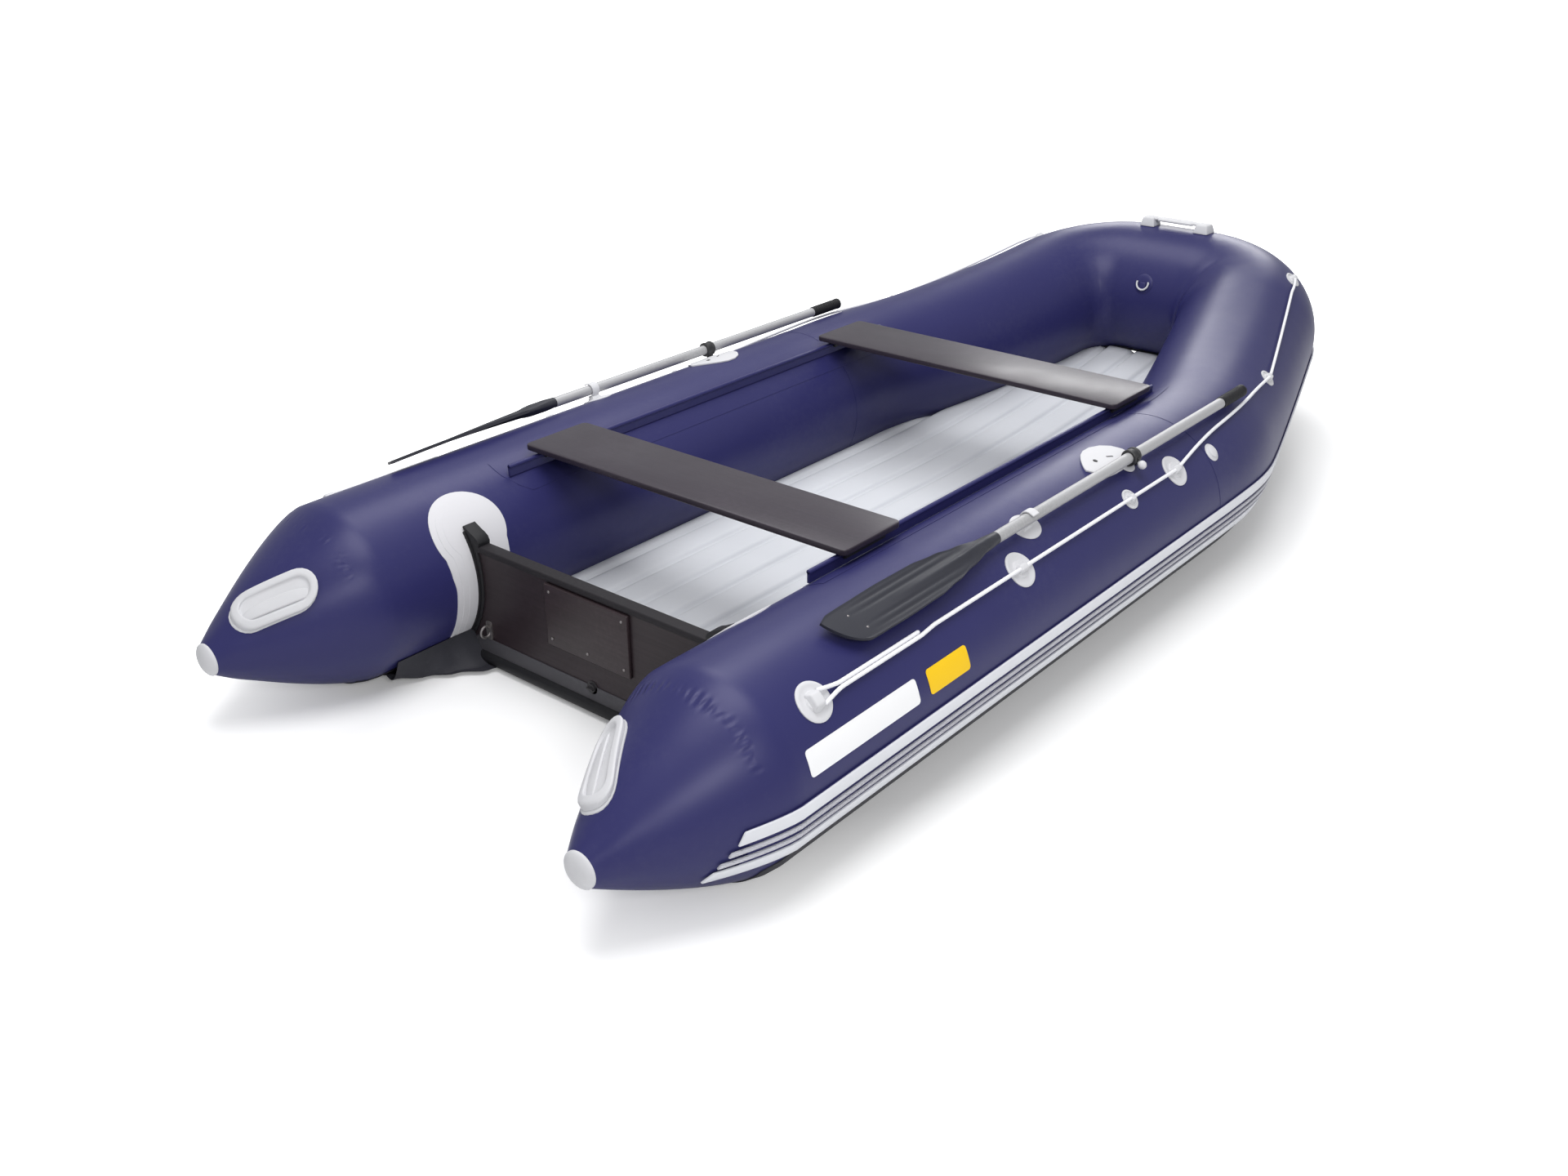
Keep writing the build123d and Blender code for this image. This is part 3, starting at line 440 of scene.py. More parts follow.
@dataclass(frozen=True)
class HullLine:
    """Line of the air chambers, from the starboard cone round the bow to the port cone.

    A run is a distance along the starboard axis, forward of the side's bend, and beyond the
    middle of the bow it goes on down the port side. Angles are read round the axis, from the
    outboard horizontal over the top.
    """

    half_span: float = 0.6235
    tube_radius: float = 0.23
    axis_height: float = 0.233
    front: float = 1.661
    front_flat: float = 0.21
    corner_radius: float = 0.29
    bend_radius: float = 1.0
    taper: float = radians(15)
    sheer_lead: float = 0.114
    sheer_rise: float = 0.182
    cone_start: float = -1.527
    cone_length: float = 0.358
    cone_tip_radius: float = 0.038
    cone_drop: float = 0.033
    cone_bulge: float = 1.28
    fine_pitch: float = 0.02

    @cached_property
    def taper_run(self) -> float:
        """Length of the straight run ahead of the bend.

        Returns:
            The length.
        """
        inner = self.half_span - self.bend_radius * (1 - cos(self.taper))
        return (inner - self.corner_radius * cos(self.taper) - self.front_flat / 2) / sin(
            self.taper)

    @cached_property
    def bend_run(self) -> float:
        """Length of the side's bend."""
        return self.bend_radius * self.taper

    @cached_property
    def corner_run(self) -> float:
        """Length of the corner at the bow."""
        return self.corner_radius * (pi / 2 - self.taper)

    @cached_property
    def half_run(self) -> float:
        """Run of the middle of the bow."""
        return self.bend_run + self.taper_run + self.corner_run + self.front_flat / 2

    @cached_property
    def corner_x(self) -> float:
        """Where the corner starts."""
        return self.front - self.corner_radius * (1 - sin(self.taper))

    @cached_property
    def taper_x(self) -> float:
        """Where the straight run ahead of the bend starts."""
        return self.corner_x - self.taper_run * cos(self.taper)

    @cached_property
    def bend_x(self) -> float:
        """Where the side's bend starts."""
        return self.taper_x - self.bend_radius * sin(self.taper)

    @cached_property
    def sheer_x(self) -> float:
        """Where the tubes start to rise."""
        return self.bend_x - self.sheer_lead

    @property
    def cone_tip(self) -> float:
        """Aft end of the cones' fabric."""
        return self.cone_start - self.cone_length

    def run_at(self, x: float) -> float:
        """Run of a place on the straight part."""
        return x - self.bend_x

    def sheer(self, x: float) -> float:
        """Rise of the tube axis."""
        return self.sheer_rise * (max(0.0, x - self.sheer_x) / (self.front - self.sheer_x)) ** 2

    def plan(self, run: float) -> tuple[float, float, float]:
        """X, Y and heading of the starboard axis at a run up to the middle of the bow.

        Args:
            run: Place along the hull's line.

        Returns:
            X, Y and the heading.
        """
        straight = self.half_span - self.bend_radius * (1 - cos(self.taper))
        if run < 0:
            return self.bend_x + run, -self.half_span, 0.0
        if run < self.bend_run:
            turn = run / self.bend_radius
            return (self.bend_x + self.bend_radius * sin(turn),
                    -self.half_span + self.bend_radius * (1 - cos(turn)), turn)
        if run < self.bend_run + self.taper_run:
            along = run - self.bend_run
            return (self.taper_x + along * cos(self.taper),
                    -straight + along * sin(self.taper), self.taper)
        if run < self.bend_run + self.taper_run + self.corner_run:
            turn = self.taper + (run - self.bend_run - self.taper_run) / self.corner_radius
            start = -straight + self.taper_run * sin(self.taper)
            return (self.corner_x + self.corner_radius * (sin(turn) - sin(self.taper)),
                    start + self.corner_radius * (cos(self.taper) - cos(turn)), turn)
        return self.front, run - self.half_run, pi / 2

    def section(self, run: float) -> Section:
        """Section of the hull at a run.

        Args:
            run: Place along the hull's line.

        Returns:
            The section.
        """
        mirrored = run > self.half_run
        x, y, heading = self.plan(2 * self.half_run - run if mirrored else run)
        slope = 2 * self.sheer_rise * max(0.0, x - self.sheer_x) / (self.front - self.sheer_x) ** 2
        along = Vector((cos(heading), sin(heading), slope * cos(heading))).normalized()
        outboard = Vector((sin(heading), -cos(heading), 0))
        up = outboard.cross(along)
        share = max(0.0, self.cone_start - x) / self.cone_length
        radius = self.tube_radius - (self.tube_radius - self.cone_tip_radius) * share ** self.cone_bulge
        centre = Vector((x, y, self.axis_height + self.sheer(x) - self.cone_drop * share))
        if mirrored:
            centre.y, outboard.y, up.y = -centre.y, -outboard.y, -up.y
        return Section(centre, outboard, up, radius)

    def runs(self, first: float, last: float, coarse: float) -> list[float]:
        """Places for cuts between two runs, closer together where the hull is curved.

        Args:
            first: First run.
            last: Last run.
            coarse: Spacing where the hull is straight.

        Returns:
            The places, without the two ends.
        """
        straight = self.run_at(self.sheer_x)
        cone = self.run_at(self.cone_start)
        far = 2 * self.half_run - straight
        far_cone = 2 * self.half_run - cone
        marks = [first] + [mark for mark in (cone, straight, far, far_cone) if first < mark < last]
        marks += [last]
        places: list[float] = []
        for start, end in zip(marks, marks[1:]):
            middle = (start + end) / 2
            flat = cone < middle < straight or far < middle < far_cone
            places += steps(start, end, coarse if flat else self.fine_pitch)
            places.append(end)
        return places[:-1]

    def lay(self, obj: Piece, angle: float | Callable[[float], float],
            side: Side = Side.STARBOARD, true_arc: bool = True, start: float = 0.0,
            relief: Callable[[float, float], float] | None = None) -> Piece:
        """Lay a piece that was modelled flat on the hull.

        Args:
            obj: The piece, with X its run, Y its way up round the tube and Z its height.
            angle: Angle of its Y = 0 round the tube, or what gives it from the run.
            side: Side of the boat.
            true_arc: Keep lengths round the cone, where the tube is thinner.
            start: Run of its X = 0.
            relief: Gives more height from a run and an angle.

        Returns:
            The piece.
        """
        sections: dict[float, Section] = {}
        for vertex in obj.data.vertices:
            x, arc, height = vertex.co
            run = start + x
            key = round(run, 6)
            if key not in sections:
                sections[key] = self.section(run)
            section = sections[key]
            base = angle(run) if callable(angle) else angle
            turn = base + arc / (section.radius if true_arc else self.tube_radius)
            if relief:
                height += relief(run, turn)
            point = section.point(turn, height)
            if side is Side.PORT:
                point.y = -point.y
            vertex.co = point
        if side is Side.PORT:
            flip(obj)
        return obj


# ---- materials


class Wiring:
    """Node tree that is filled step by step."""

    def __init__(self, tree: bpy.types.NodeTree) -> None:
        """Take an empty tree."""
        self.tree = tree

    def feed(self, socket: Socket, value: Feed) -> None:
        """Link an input to another socket, or set it to a value.

        Args:
            socket: The input.
            value: What it gets.
        """
        if isinstance(value, Socket):
            self.tree.links.new(value, socket)
        else:
            socket.default_value = value

    def feed_all(self, node: bpy.types.Node, inputs: dict[str, Feed]) -> None:
        """Feed several inputs of a node by name.

        Args:
            node: The node.
            inputs: What each input gets, with its name's spaces as underscores.
        """
        for name, value in inputs.items():
            self.feed(node.inputs[name.replace("_", " ")], value)

    def add(self, kind: str, **inputs: Feed) -> bpy.types.Node:
        """Add a node and feed its inputs.

        Args:
            kind: Type of the node.
            **inputs: What each input gets.

        Returns:
            The node.
        """
        node = self.tree.nodes.new(kind)
        self.feed_all(node, inputs)
        return node

    def calc(self, operation: str, *values: Feed) -> Socket:
        """Work out a value with a Math node.

        Args:
            operation: What it does.
            *values: Its one or two inputs.

        Returns:
            The result.
        """
        node = self.tree.nodes.new("ShaderNodeMath")
        node.operation = operation
        for socket, value in zip(node.inputs, values):
            self.feed(socket, value)
        return node.outputs[0]

    def product(self, first: Feed, *others: Feed) -> Socket:
        """Multiply values.

        Args:
            first: The first value.
            *others: The rest.

        Returns:
            The product.
        """
        for other in others:
            first = self.calc("MULTIPLY", first, other)
        return first

    def to_camera(self, usual: Socket, seen: Socket) -> Socket:
        """Show the camera another shader than the one that lights the scene.

        Args:
            usual: Shader for all other rays.
            seen: Shader for the camera.

        Returns:
            The joined shader.
        """
        choose = self.tree.nodes.new("ShaderNodeMixShader")
        direct = self.add("ShaderNodeLightPath").outputs["Is Camera Ray"]
        for socket, value in zip(choose.inputs, (direct, usual, seen)):
            self.feed(socket, value)
        return choose.outputs[0]


class Recipe(Wiring):
    """Node tree of one material."""

    def __init__(self, name: str) -> None:
        """Start a material with a Principled surface.

        Args:
            name: Name of the material.
        """
        self.material = bpy.data.materials.new(name)
        self.material.use_nodes = True
        super().__init__(self.material.node_tree)
        self.tree.nodes.clear()
        self.surface = self.add("ShaderNodeBsdfPrincipled")
        self.output = self.add("ShaderNodeOutputMaterial", Surface=self.surface.outputs["BSDF"])
        self.place = self.add("ShaderNodeTexCoord").outputs["Object"]

    def set(self, **inputs: Feed) -> bpy.types.Material:
        """Feed inputs of the Principled surface and give the material."""
        self.feed_all(self.surface, inputs)
        return self.material

    def effect(self, tree: bpy.types.NodeTree, **inputs: Feed) -> bpy.types.NodeOutputs:
        """Place a shared effect and give it this material's values.

        Args:
            tree: The effect.
            **inputs: Its values.

        Returns:
            Its outputs.
        """
        node = self.add("ShaderNodeGroup")
        node.node_tree = tree
        self.feed_all(node, {"Place": self.place, **inputs})
        return node.outputs

    def over(self, mask: Socket, under: Colour | Socket, colour: Colour) -> Socket:
        """Lay a colour over another by a mask.

        Args:
            mask: Where it shows.
            under: The colour below.
            colour: The colour on top.

        Returns:
            The mixed colour.
        """
        node = self.tree.nodes.new("ShaderNodeMix")
        node.data_type = "RGBA"
        below = under if isinstance(under, Socket) else (*under, 1)
        for number, value in ((0, mask), (6, below), (7, (*colour, 1))):
            self.feed(node.inputs[number], value)
        return node.outputs[2]

    def spread(self, mask: Socket, low: float, high: float) -> Socket:
        """Map a mask from 0 to 1 onto other values."""
        return self.add("ShaderNodeMapRange", Value=mask, To_Min=low, To_Max=high).outputs["Result"]

    def bump(self, height: Socket, strength: float, distance: float,
             normal: Socket | None = None) -> Socket:
        """Raise the surface by a height, on top of an earlier bump if there is one.

        Args:
            height: What raises it.
            strength: Share of it that shows.
            distance: Height of a full step.
            normal: The earlier bump.

        Returns:
            The new normal.
        """
        earlier = {"Normal": normal} if normal else {}
        return self.add("ShaderNodeBump", Strength=strength, Distance=distance, Height=height,
                        **earlier).outputs["Normal"]


class Effect(Wiring):
    """Node group of one shared effect."""

    def __init__(self, name: str, inputs: dict[str, float], *outputs: str) -> None:
        """Start a group.

        Args:
            name: Name of the effect.
            inputs: Its number inputs and their usual values.
            *outputs: Names of its outputs.
        """
        super().__init__(bpy.data.node_groups.new(name, "ShaderNodeTree"))
        sockets = self.tree.interface
        sockets.new_socket("Place", in_out="INPUT", socket_type="NodeSocketVector")
        for key, value in inputs.items():
            socket = sockets.new_socket(key, in_out="INPUT", socket_type="NodeSocketFloat")
            socket.default_value = value
        for key in outputs:
            sockets.new_socket(key, in_out="OUTPUT", socket_type="NodeSocketFloat")
        self.given = self.tree.nodes.new("NodeGroupInput").outputs
        self.result = self.tree.nodes.new("NodeGroupOutput")

    def noise(self, **inputs: Feed) -> Socket:
        """Noise over the piece."""
        inputs.setdefault("Vector", self.given["Place"])
        return self.add("ShaderNodeTexNoise", **inputs).outputs["Fac"]

    def ramp(self, value: Socket, low: float, high: float) -> Socket:
        """Climb from 0 to 1 between two values."""
        return self.add("ShaderNodeMapRange", Value=value, From_Min=low, From_Max=high).outputs["Result"]

    def axes(self) -> bpy.types.NodeOutputs:
        """X, Y and Z of the place."""
        return self.add("ShaderNodeSeparateXYZ", Vector=self.given["Place"]).outputs

    def done(self, **outputs: Feed) -> bpy.types.NodeTree:
        """Feed the outputs of the group and give it."""
        self.feed_all(self.result, outputs)
        return self.tree


class Effects:
    """Shared shader effects, each a node group with named inputs and outputs."""

    def __init__(self) -> None:
        """Build every effect once."""
        self.grain = self._grain()
        self.scuffs = self._scuffs()
        self.pucker = self._pucker()
        self.streaks = self._streaks()
        self.hatch = self._hatch()

    @staticmethod
    def _grain() -> bpy.types.NodeTree:
        """Fine grain of coated fabric or moulded plastic, with a slow change of tone.

        Returns:
            The effect.
        """
        effect = Effect("surface_grain", {"Scale": 900.0, "Tone Scale": 3.0}, "Height", "Tone")
        return effect.done(Height=effect.noise(Scale=effect.given["Scale"], Detail=2.0),
                           Tone=effect.noise(Scale=effect.given["Tone Scale"], Detail=3.0, Roughness=0.55))

    @staticmethod
    def _scuffs() -> bpy.types.NodeTree:
        """Thin scuffs and specks of dust in patches.

        Returns:
            The effect.
        """
        effect = Effect("scuffs", {"Scale": 60.0, "Amount": 0.5}, "Mask")
        fine = effect.noise(Scale=effect.given["Scale"], Detail=6.0, Roughness=0.7)
        marks = effect.ramp(effect.product(fine, effect.noise(Scale=2.3)), 0.27, 0.42)
        return effect.done(Mask=effect.product(marks, effect.given["Amount"]))

    @staticmethod
    def _pucker() -> bpy.types.NodeTree:
        """Small puckers of glued fabric on top of the seam of each stern cone.

        Returns:
            The effect.
        """
        effect = Effect("seam_pucker", {"Seam X": -1.585, "Reach": 0.012, "Half Span": 0.6235,
                                        "Axis Z": 0.226, "Count": 64.0}, "Height")
        given, calc = effect.given, effect.calc
        x, y, z = effect.axes()
        share = calc("DIVIDE", calc("SUBTRACT", x, given["Seam X"]), given["Reach"])
        bell = calc("POWER", math.e, effect.product(share, share, -1.0))
        width = calc("SUBTRACT", calc("ABSOLUTE", y), given["Half Span"])
        rise = calc("SUBTRACT", z, given["Axis Z"])
        wave = calc("SINE", effect.product(calc("ARCTAN2", rise, width), given["Count"]))
        uneven = effect.ramp(effect.noise(Scale=11.0), 0.5, 0.62)
        return effect.done(Height=effect.product(wave, bell, uneven, effect.ramp(rise, 0.1, 0.14)))

    @staticmethod
    def _streaks() -> bpy.types.NodeTree:
        """Fine streaks along one axis, as on drawn metal or a wood face.

        Returns:
            The effect.
        """
        effect = Effect("streaks", {"Along": 4.0, "Across": 300.0, "Axis Y": 0.0}, "Height")
        calc, product = effect.calc, effect.product
        along, across, sideways = (effect.given[key] for key in ("Along", "Across", "Axis Y"))
        forward = calc("SUBTRACT", 1.0, sideways)
        x_rate = calc("ADD", product(along, forward), product(across, sideways))
        y_rate = calc("ADD", product(across, forward), product(along, sideways))
        x, y, z = effect.axes()
        stretched = effect.add("ShaderNodeCombineXYZ", X=product(x, x_rate), Y=product(y, y_rate),
                               Z=product(z, across))
        return effect.done(Height=effect.noise(Vector=stretched.outputs[0], Scale=1.0, Detail=3.0))

    @staticmethod
    def _hatch() -> bpy.types.NodeTree:
        """Fine slanting grooves across a strip that goes round the hull.

        Returns:
            The effect.
        """
        effect = Effect("hatch", {"Rate": 1500.0}, "Height")
        x, y, z = effect.axes()
        slant = effect.calc("ADD", effect.calc("SUBTRACT", x, effect.calc("ABSOLUTE", y)), z)
        return effect.done(Height=effect.calc("SINE", effect.product(slant, effect.given["Rate"])))


def toned(colour: Colour, share: float) -> Colour:
    """Colour made darker or lighter by a share."""
    return tuple(min(1.0, part * share) for part in colour)


@dataclass(frozen=True)
class Finish:
    """A finish of the boat; each kind knows how to make its material."""

    name: str
    colour: Colour
    slot: str
    roughness: float = 0.5

    def make(self, effects: Effects) -> bpy.types.Material:
        """Make the material."""
        raise NotImplementedError


@dataclass(frozen=True)
class CoatedFabric(Finish):
    """Coated fabric: fine grain, slow change of tone, thin scuffs."""

    dust: Colour = (0.3, 0.3, 0.34)
    dust_amount: float = 0.12
    grain_depth: float = 0.25
    tone: float = 0.12
    puckers: bool = False
    specular: float = 0.5
    glint: Colour = (1.0, 1.0, 1.0)
    slack: float = 0.25

    def make(self, effects: Effects) -> bpy.types.Material:
        """Make the material.

        Args:
            effects: The shared effects.

        Returns:
            The material.
        """
        recipe = Recipe(self.name)
        grain = recipe.effect(effects.grain, Scale=700.0, Tone_Scale=2.6)
        scuffs = recipe.effect(effects.scuffs, Scale=55.0, Amount=self.dust_amount)
        colour = recipe.over(grain["Tone"], toned(self.colour, 1 - self.tone),
                             toned(self.colour, 1 + self.tone))
        normal = recipe.bump(grain["Height"], self.grain_depth, 0.0004)
        if self.slack:
            normal = recipe.bump(grain["Tone"], self.slack, 0.012, normal)
        if self.puckers:
            normal = recipe.bump(recipe.effect(effects.pucker)["Height"], 0.5, 0.003, normal)
        return recipe.set(
            Base_Color=recipe.over(scuffs["Mask"], colour, self.dust),
            Roughness=recipe.spread(grain["Tone"], self.roughness - 0.05, self.roughness + 0.06),
            Normal=normal, Specular_IOR_Level=self.specular, Specular_Tint=(*self.glint, 1))


@dataclass(frozen=True)
class Moulding(Finish):
    """Moulded plastic or rubber: fine spark grain and faint marks."""

    marks: Colour = (0.35, 0.35, 0.36)
    mark_amount: float = 0.12
    grain_scale: float = 1200.0
    specular: float = 0.5
    hatched: bool = False

    def make(self, effects: Effects) -> bpy.types.Material:
        """Make the material.

        Args:
            effects: The shared effects.

        Returns:
            The material.
        """
        recipe = Recipe(self.name)
        grain = recipe.effect(effects.grain, Scale=self.grain_scale, Tone_Scale=9.0)
        scuffs = recipe.effect(effects.scuffs, Scale=120.0, Amount=self.mark_amount)
        colour = recipe.over(grain["Tone"], toned(self.colour, 0.93), toned(self.colour, 1.06))
        normal = recipe.bump(grain["Height"], 0.2, 0.0003)
        if self.hatched:
            normal = recipe.bump(recipe.effect(effects.hatch)["Height"], 0.8, 0.0012, normal)
        return recipe.set(
            Base_Color=recipe.over(scuffs["Mask"], colour, self.marks),
            Roughness=recipe.spread(grain["Tone"], self.roughness - 0.06, self.roughness + 0.08),
            Normal=normal, Specular_IOR_Level=self.specular)


@dataclass(frozen=True)
class FilmedBoard(Finish):
    """Film-faced plywood: a streaked film along the board, worn in places."""

    streak: Colour = (0.12, 0.1, 0.1)
    specular: float = 0.5

    def make(self, effects: Effects) -> bpy.types.Material:
        """Make the material.

        Args:
            effects: The shared effects.

        Returns:
            The material.
        """
        recipe = Recipe(self.name)
        streaks = recipe.effect(effects.streaks, Along=5.0, Across=160.0, Axis_Y=1.0)
        grain = recipe.effect(effects.grain, Scale=1500.0, Tone_Scale=6.0)
        scuffs = recipe.effect(effects.scuffs, Scale=90.0, Amount=0.16)
        colour = recipe.over(recipe.spread(streaks["Height"], -0.6, 1.4), self.colour, self.streak)
        normal = recipe.bump(streaks["Height"], 0.15, 0.0006)
        return recipe.set(
            Base_Color=recipe.over(scuffs["Mask"], colour, toned(self.streak, 2.2)),
            Roughness=recipe.spread(grain["Tone"], self.roughness - 0.08, self.roughness + 0.1),
            Normal=recipe.bump(grain["Height"], 0.2, 0.0002, normal), Specular_IOR_Level=self.specular)


@dataclass(frozen=True)
class DrawnMetal(Finish):
    """Drawn or brushed metal, streaked along the boat."""

    metallic: float = 1.0

    def make(self, effects: Effects) -> bpy.types.Material:
        """Make the material.

        Args:
            effects: The shared effects.

        Returns:
            The material.
        """
        recipe = Recipe(self.name)
        streaks = recipe.effect(effects.streaks, Along=6.0, Across=900.0)
        scuffs = recipe.effect(effects.scuffs, Scale=160.0, Amount=0.5)
        colour = recipe.over(streaks["Height"], toned(self.colour, 0.86), self.colour)
        return recipe.set(
            Base_Color=recipe.over(scuffs["Mask"], colour, toned(self.colour, 0.7)),
            Roughness=recipe.spread(streaks["Height"], self.roughness - 0.06, self.roughness + 0.08),
            Normal=recipe.bump(streaks["Height"], 0.1, 0.0002), Metallic=self.metallic)


class Paint(Enum):
    """Every finish on the boat."""

    NAVY = CoatedFabric("navy_fabric", (0.024, 0.024, 0.105), "tube_fabric", 0.37,
                        dust_amount=0.02, tone=0.08, puckers=True, specular=0.34,
                        glint=(0.86, 0.84, 1.0))
    FLOOR = CoatedFabric("floor_fabric", (0.64, 0.655, 0.69), "floor_fabric", 0.6,
                         dust=(0.5, 0.5, 0.5), dust_amount=0.08, tone=0.04, specular=0.3, slack=0.0)
    BOTTOM = CoatedFabric("charcoal_fabric", (0.028, 0.028, 0.036), "bottom_fabric", 0.6,
                          dust_amount=0.05, specular=0.3)
    SKIRT = CoatedFabric("skirt_fabric", (0.06, 0.058, 0.066), "bottom_fabric", 0.55,
                         dust_amount=0.05, specular=0.3)
    PALE_FABRIC = CoatedFabric("pale_fabric", (0.64, 0.635, 0.66), "pale_fabric", 0.55,
                               dust=(0.5, 0.5, 0.5), dust_amount=0.05, tone=0.03, specular=0.3)
    FITTING = Moulding("pale_moulding", (0.62, 0.62, 0.64), "pale_fitting", 0.62, mark_amount=0.05,
                       specular=0.16)
    DARK_FITTING = Moulding("dark_moulding", (0.03, 0.028, 0.031), "pale_fitting", 0.5,
                            marks=(0.1, 0.1, 0.1), mark_amount=0.05, specular=0.3)
    STRAKE = Moulding("strake_navy", (0.022, 0.022, 0.098), "strake_navy", 0.5,
                      marks=(0.15, 0.15, 0.2), mark_amount=0.04, specular=0.3)
    RIB = Moulding("strake_grey", (0.72, 0.73, 0.77), "strake_grey", 0.42, mark_amount=0.05)
    HATCHED_RIB = Moulding("strake_grey_hatched", (0.66, 0.66, 0.72), "strake_grey", 0.42,
                           mark_amount=0.05, hatched=True)
    BOARD = FilmedBoard("transom_film", (0.018, 0.011, 0.014), "transom_board", 0.42,
                        streak=(0.027, 0.018, 0.022), specular=0.3)
    PLATE = FilmedBoard("plate_film", (0.026, 0.018, 0.02), "transom_plate", 0.38,
                        streak=(0.038, 0.026, 0.03), specular=0.3)
    BENCH = FilmedBoard("bench_film", (0.027, 0.021, 0.03), "seat_board", 0.32,
                        streak=(0.037, 0.029, 0.04), specular=0.3)
    RUBBER = Moulding("black_rubber", (0.011, 0.011, 0.013), "black_rubber", 0.55,
                      marks=(0.08, 0.08, 0.08), mark_amount=0.05, specular=0.3)
    EDGING = Moulding("grey_edging", (0.014, 0.012, 0.015), "black_rubber", 0.65,
                      marks=(0.12, 0.12, 0.12), mark_amount=0.05, specular=0.3)
    PLASTIC = Moulding("black_plastic", (0.018, 0.018, 0.02), "black_plastic", 0.42,
                       marks=(0.09, 0.09, 0.09), mark_amount=0.05)
    BLADE = Moulding("blade_plastic", (0.027, 0.028, 0.037), "oar_blade", 0.42,
                     marks=(0.12, 0.12, 0.13), mark_amount=0.05, grain_scale=700.0, specular=0.35)
    ALUMINIUM = DrawnMetal("satin_aluminium", (0.5, 0.5, 0.51), "oar_aluminium", 0.5, metallic=0.35)
    STEEL = DrawnMetal("steel", (0.5, 0.5, 0.51), "ring_steel", 0.4)
    DULL_STEEL = DrawnMetal("dull_steel", (0.3, 0.28, 0.28), "ring_steel", 0.5)
    PIN = DrawnMetal("pin_steel", (0.6, 0.6, 0.61), "pin_steel", 0.25)
    ROPE = CoatedFabric("white_rope", (0.82, 0.82, 0.85), "white_rope", 0.75,
                        dust=(0.6, 0.6, 0.62), dust_amount=0.1, tone=0.04, grain_depth=0.6)
    WHITE_PANEL = CoatedFabric("white_panel", (0.88, 0.88, 0.89), "white_panel", 0.45,
                               dust=(0.7, 0.7, 0.7), dust_amount=0.03, tone=0.02)
    YELLOW_PANEL = CoatedFabric("yellow_panel", (0.9, 0.56, 0.006), "yellow_panel", 0.5,
                                dust=(0.8, 0.6, 0.2), dust_amount=0.03, tone=0.02, specular=0.25)


@dataclass
class PaintShop:
    """Makes each material once."""

    effects: Effects
    made: dict[str, bpy.types.Material] = field(default_factory=dict)

    def material(self, paint: Paint) -> bpy.types.Material:
        """Material of a finish.

        Args:
            paint: The finish.

        Returns:
            Its material.
        """
        if paint.name not in self.made:
            self.made[paint.name] = paint.value.make(self.effects)
        return self.made[paint.name]

    def coat(self, obj: Piece, paint: Paint) -> None:
        """Give a piece one finish all over."""
        obj.data.materials.clear()
        obj.data.materials.append(self.material(paint))


@dataclass
class Yard:
    """What every sub-assembly works with: the hull's line and the finishes."""

    line: HullLine
    shop: PaintShop

    def deliver(self, obj: Piece, paint: Paint, nodes: Sequence[str] = (),
                body: str = "root", angle: float = 35.0) -> Piece:
        """Smooth, coat and mount a finished piece.

        Args:
            obj: The piece, in its place.
            paint: Its finish.
            nodes: CAD nodes that it stands for.
            body: CAD body that it rides on.
            angle: Edges sharper than this stay sharp.

        Returns:
            The piece.
        """
        activate(obj)
        bpy.ops.object.shade_smooth_by_angle(angle=radians(angle))
        self.shop.coat(obj, paint)
        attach(obj, body)
        if nodes:
            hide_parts(*nodes)
        LOG.info("%s rides on %s in %s", obj.name, body, paint.value.name)
        return obj


# ---- hull


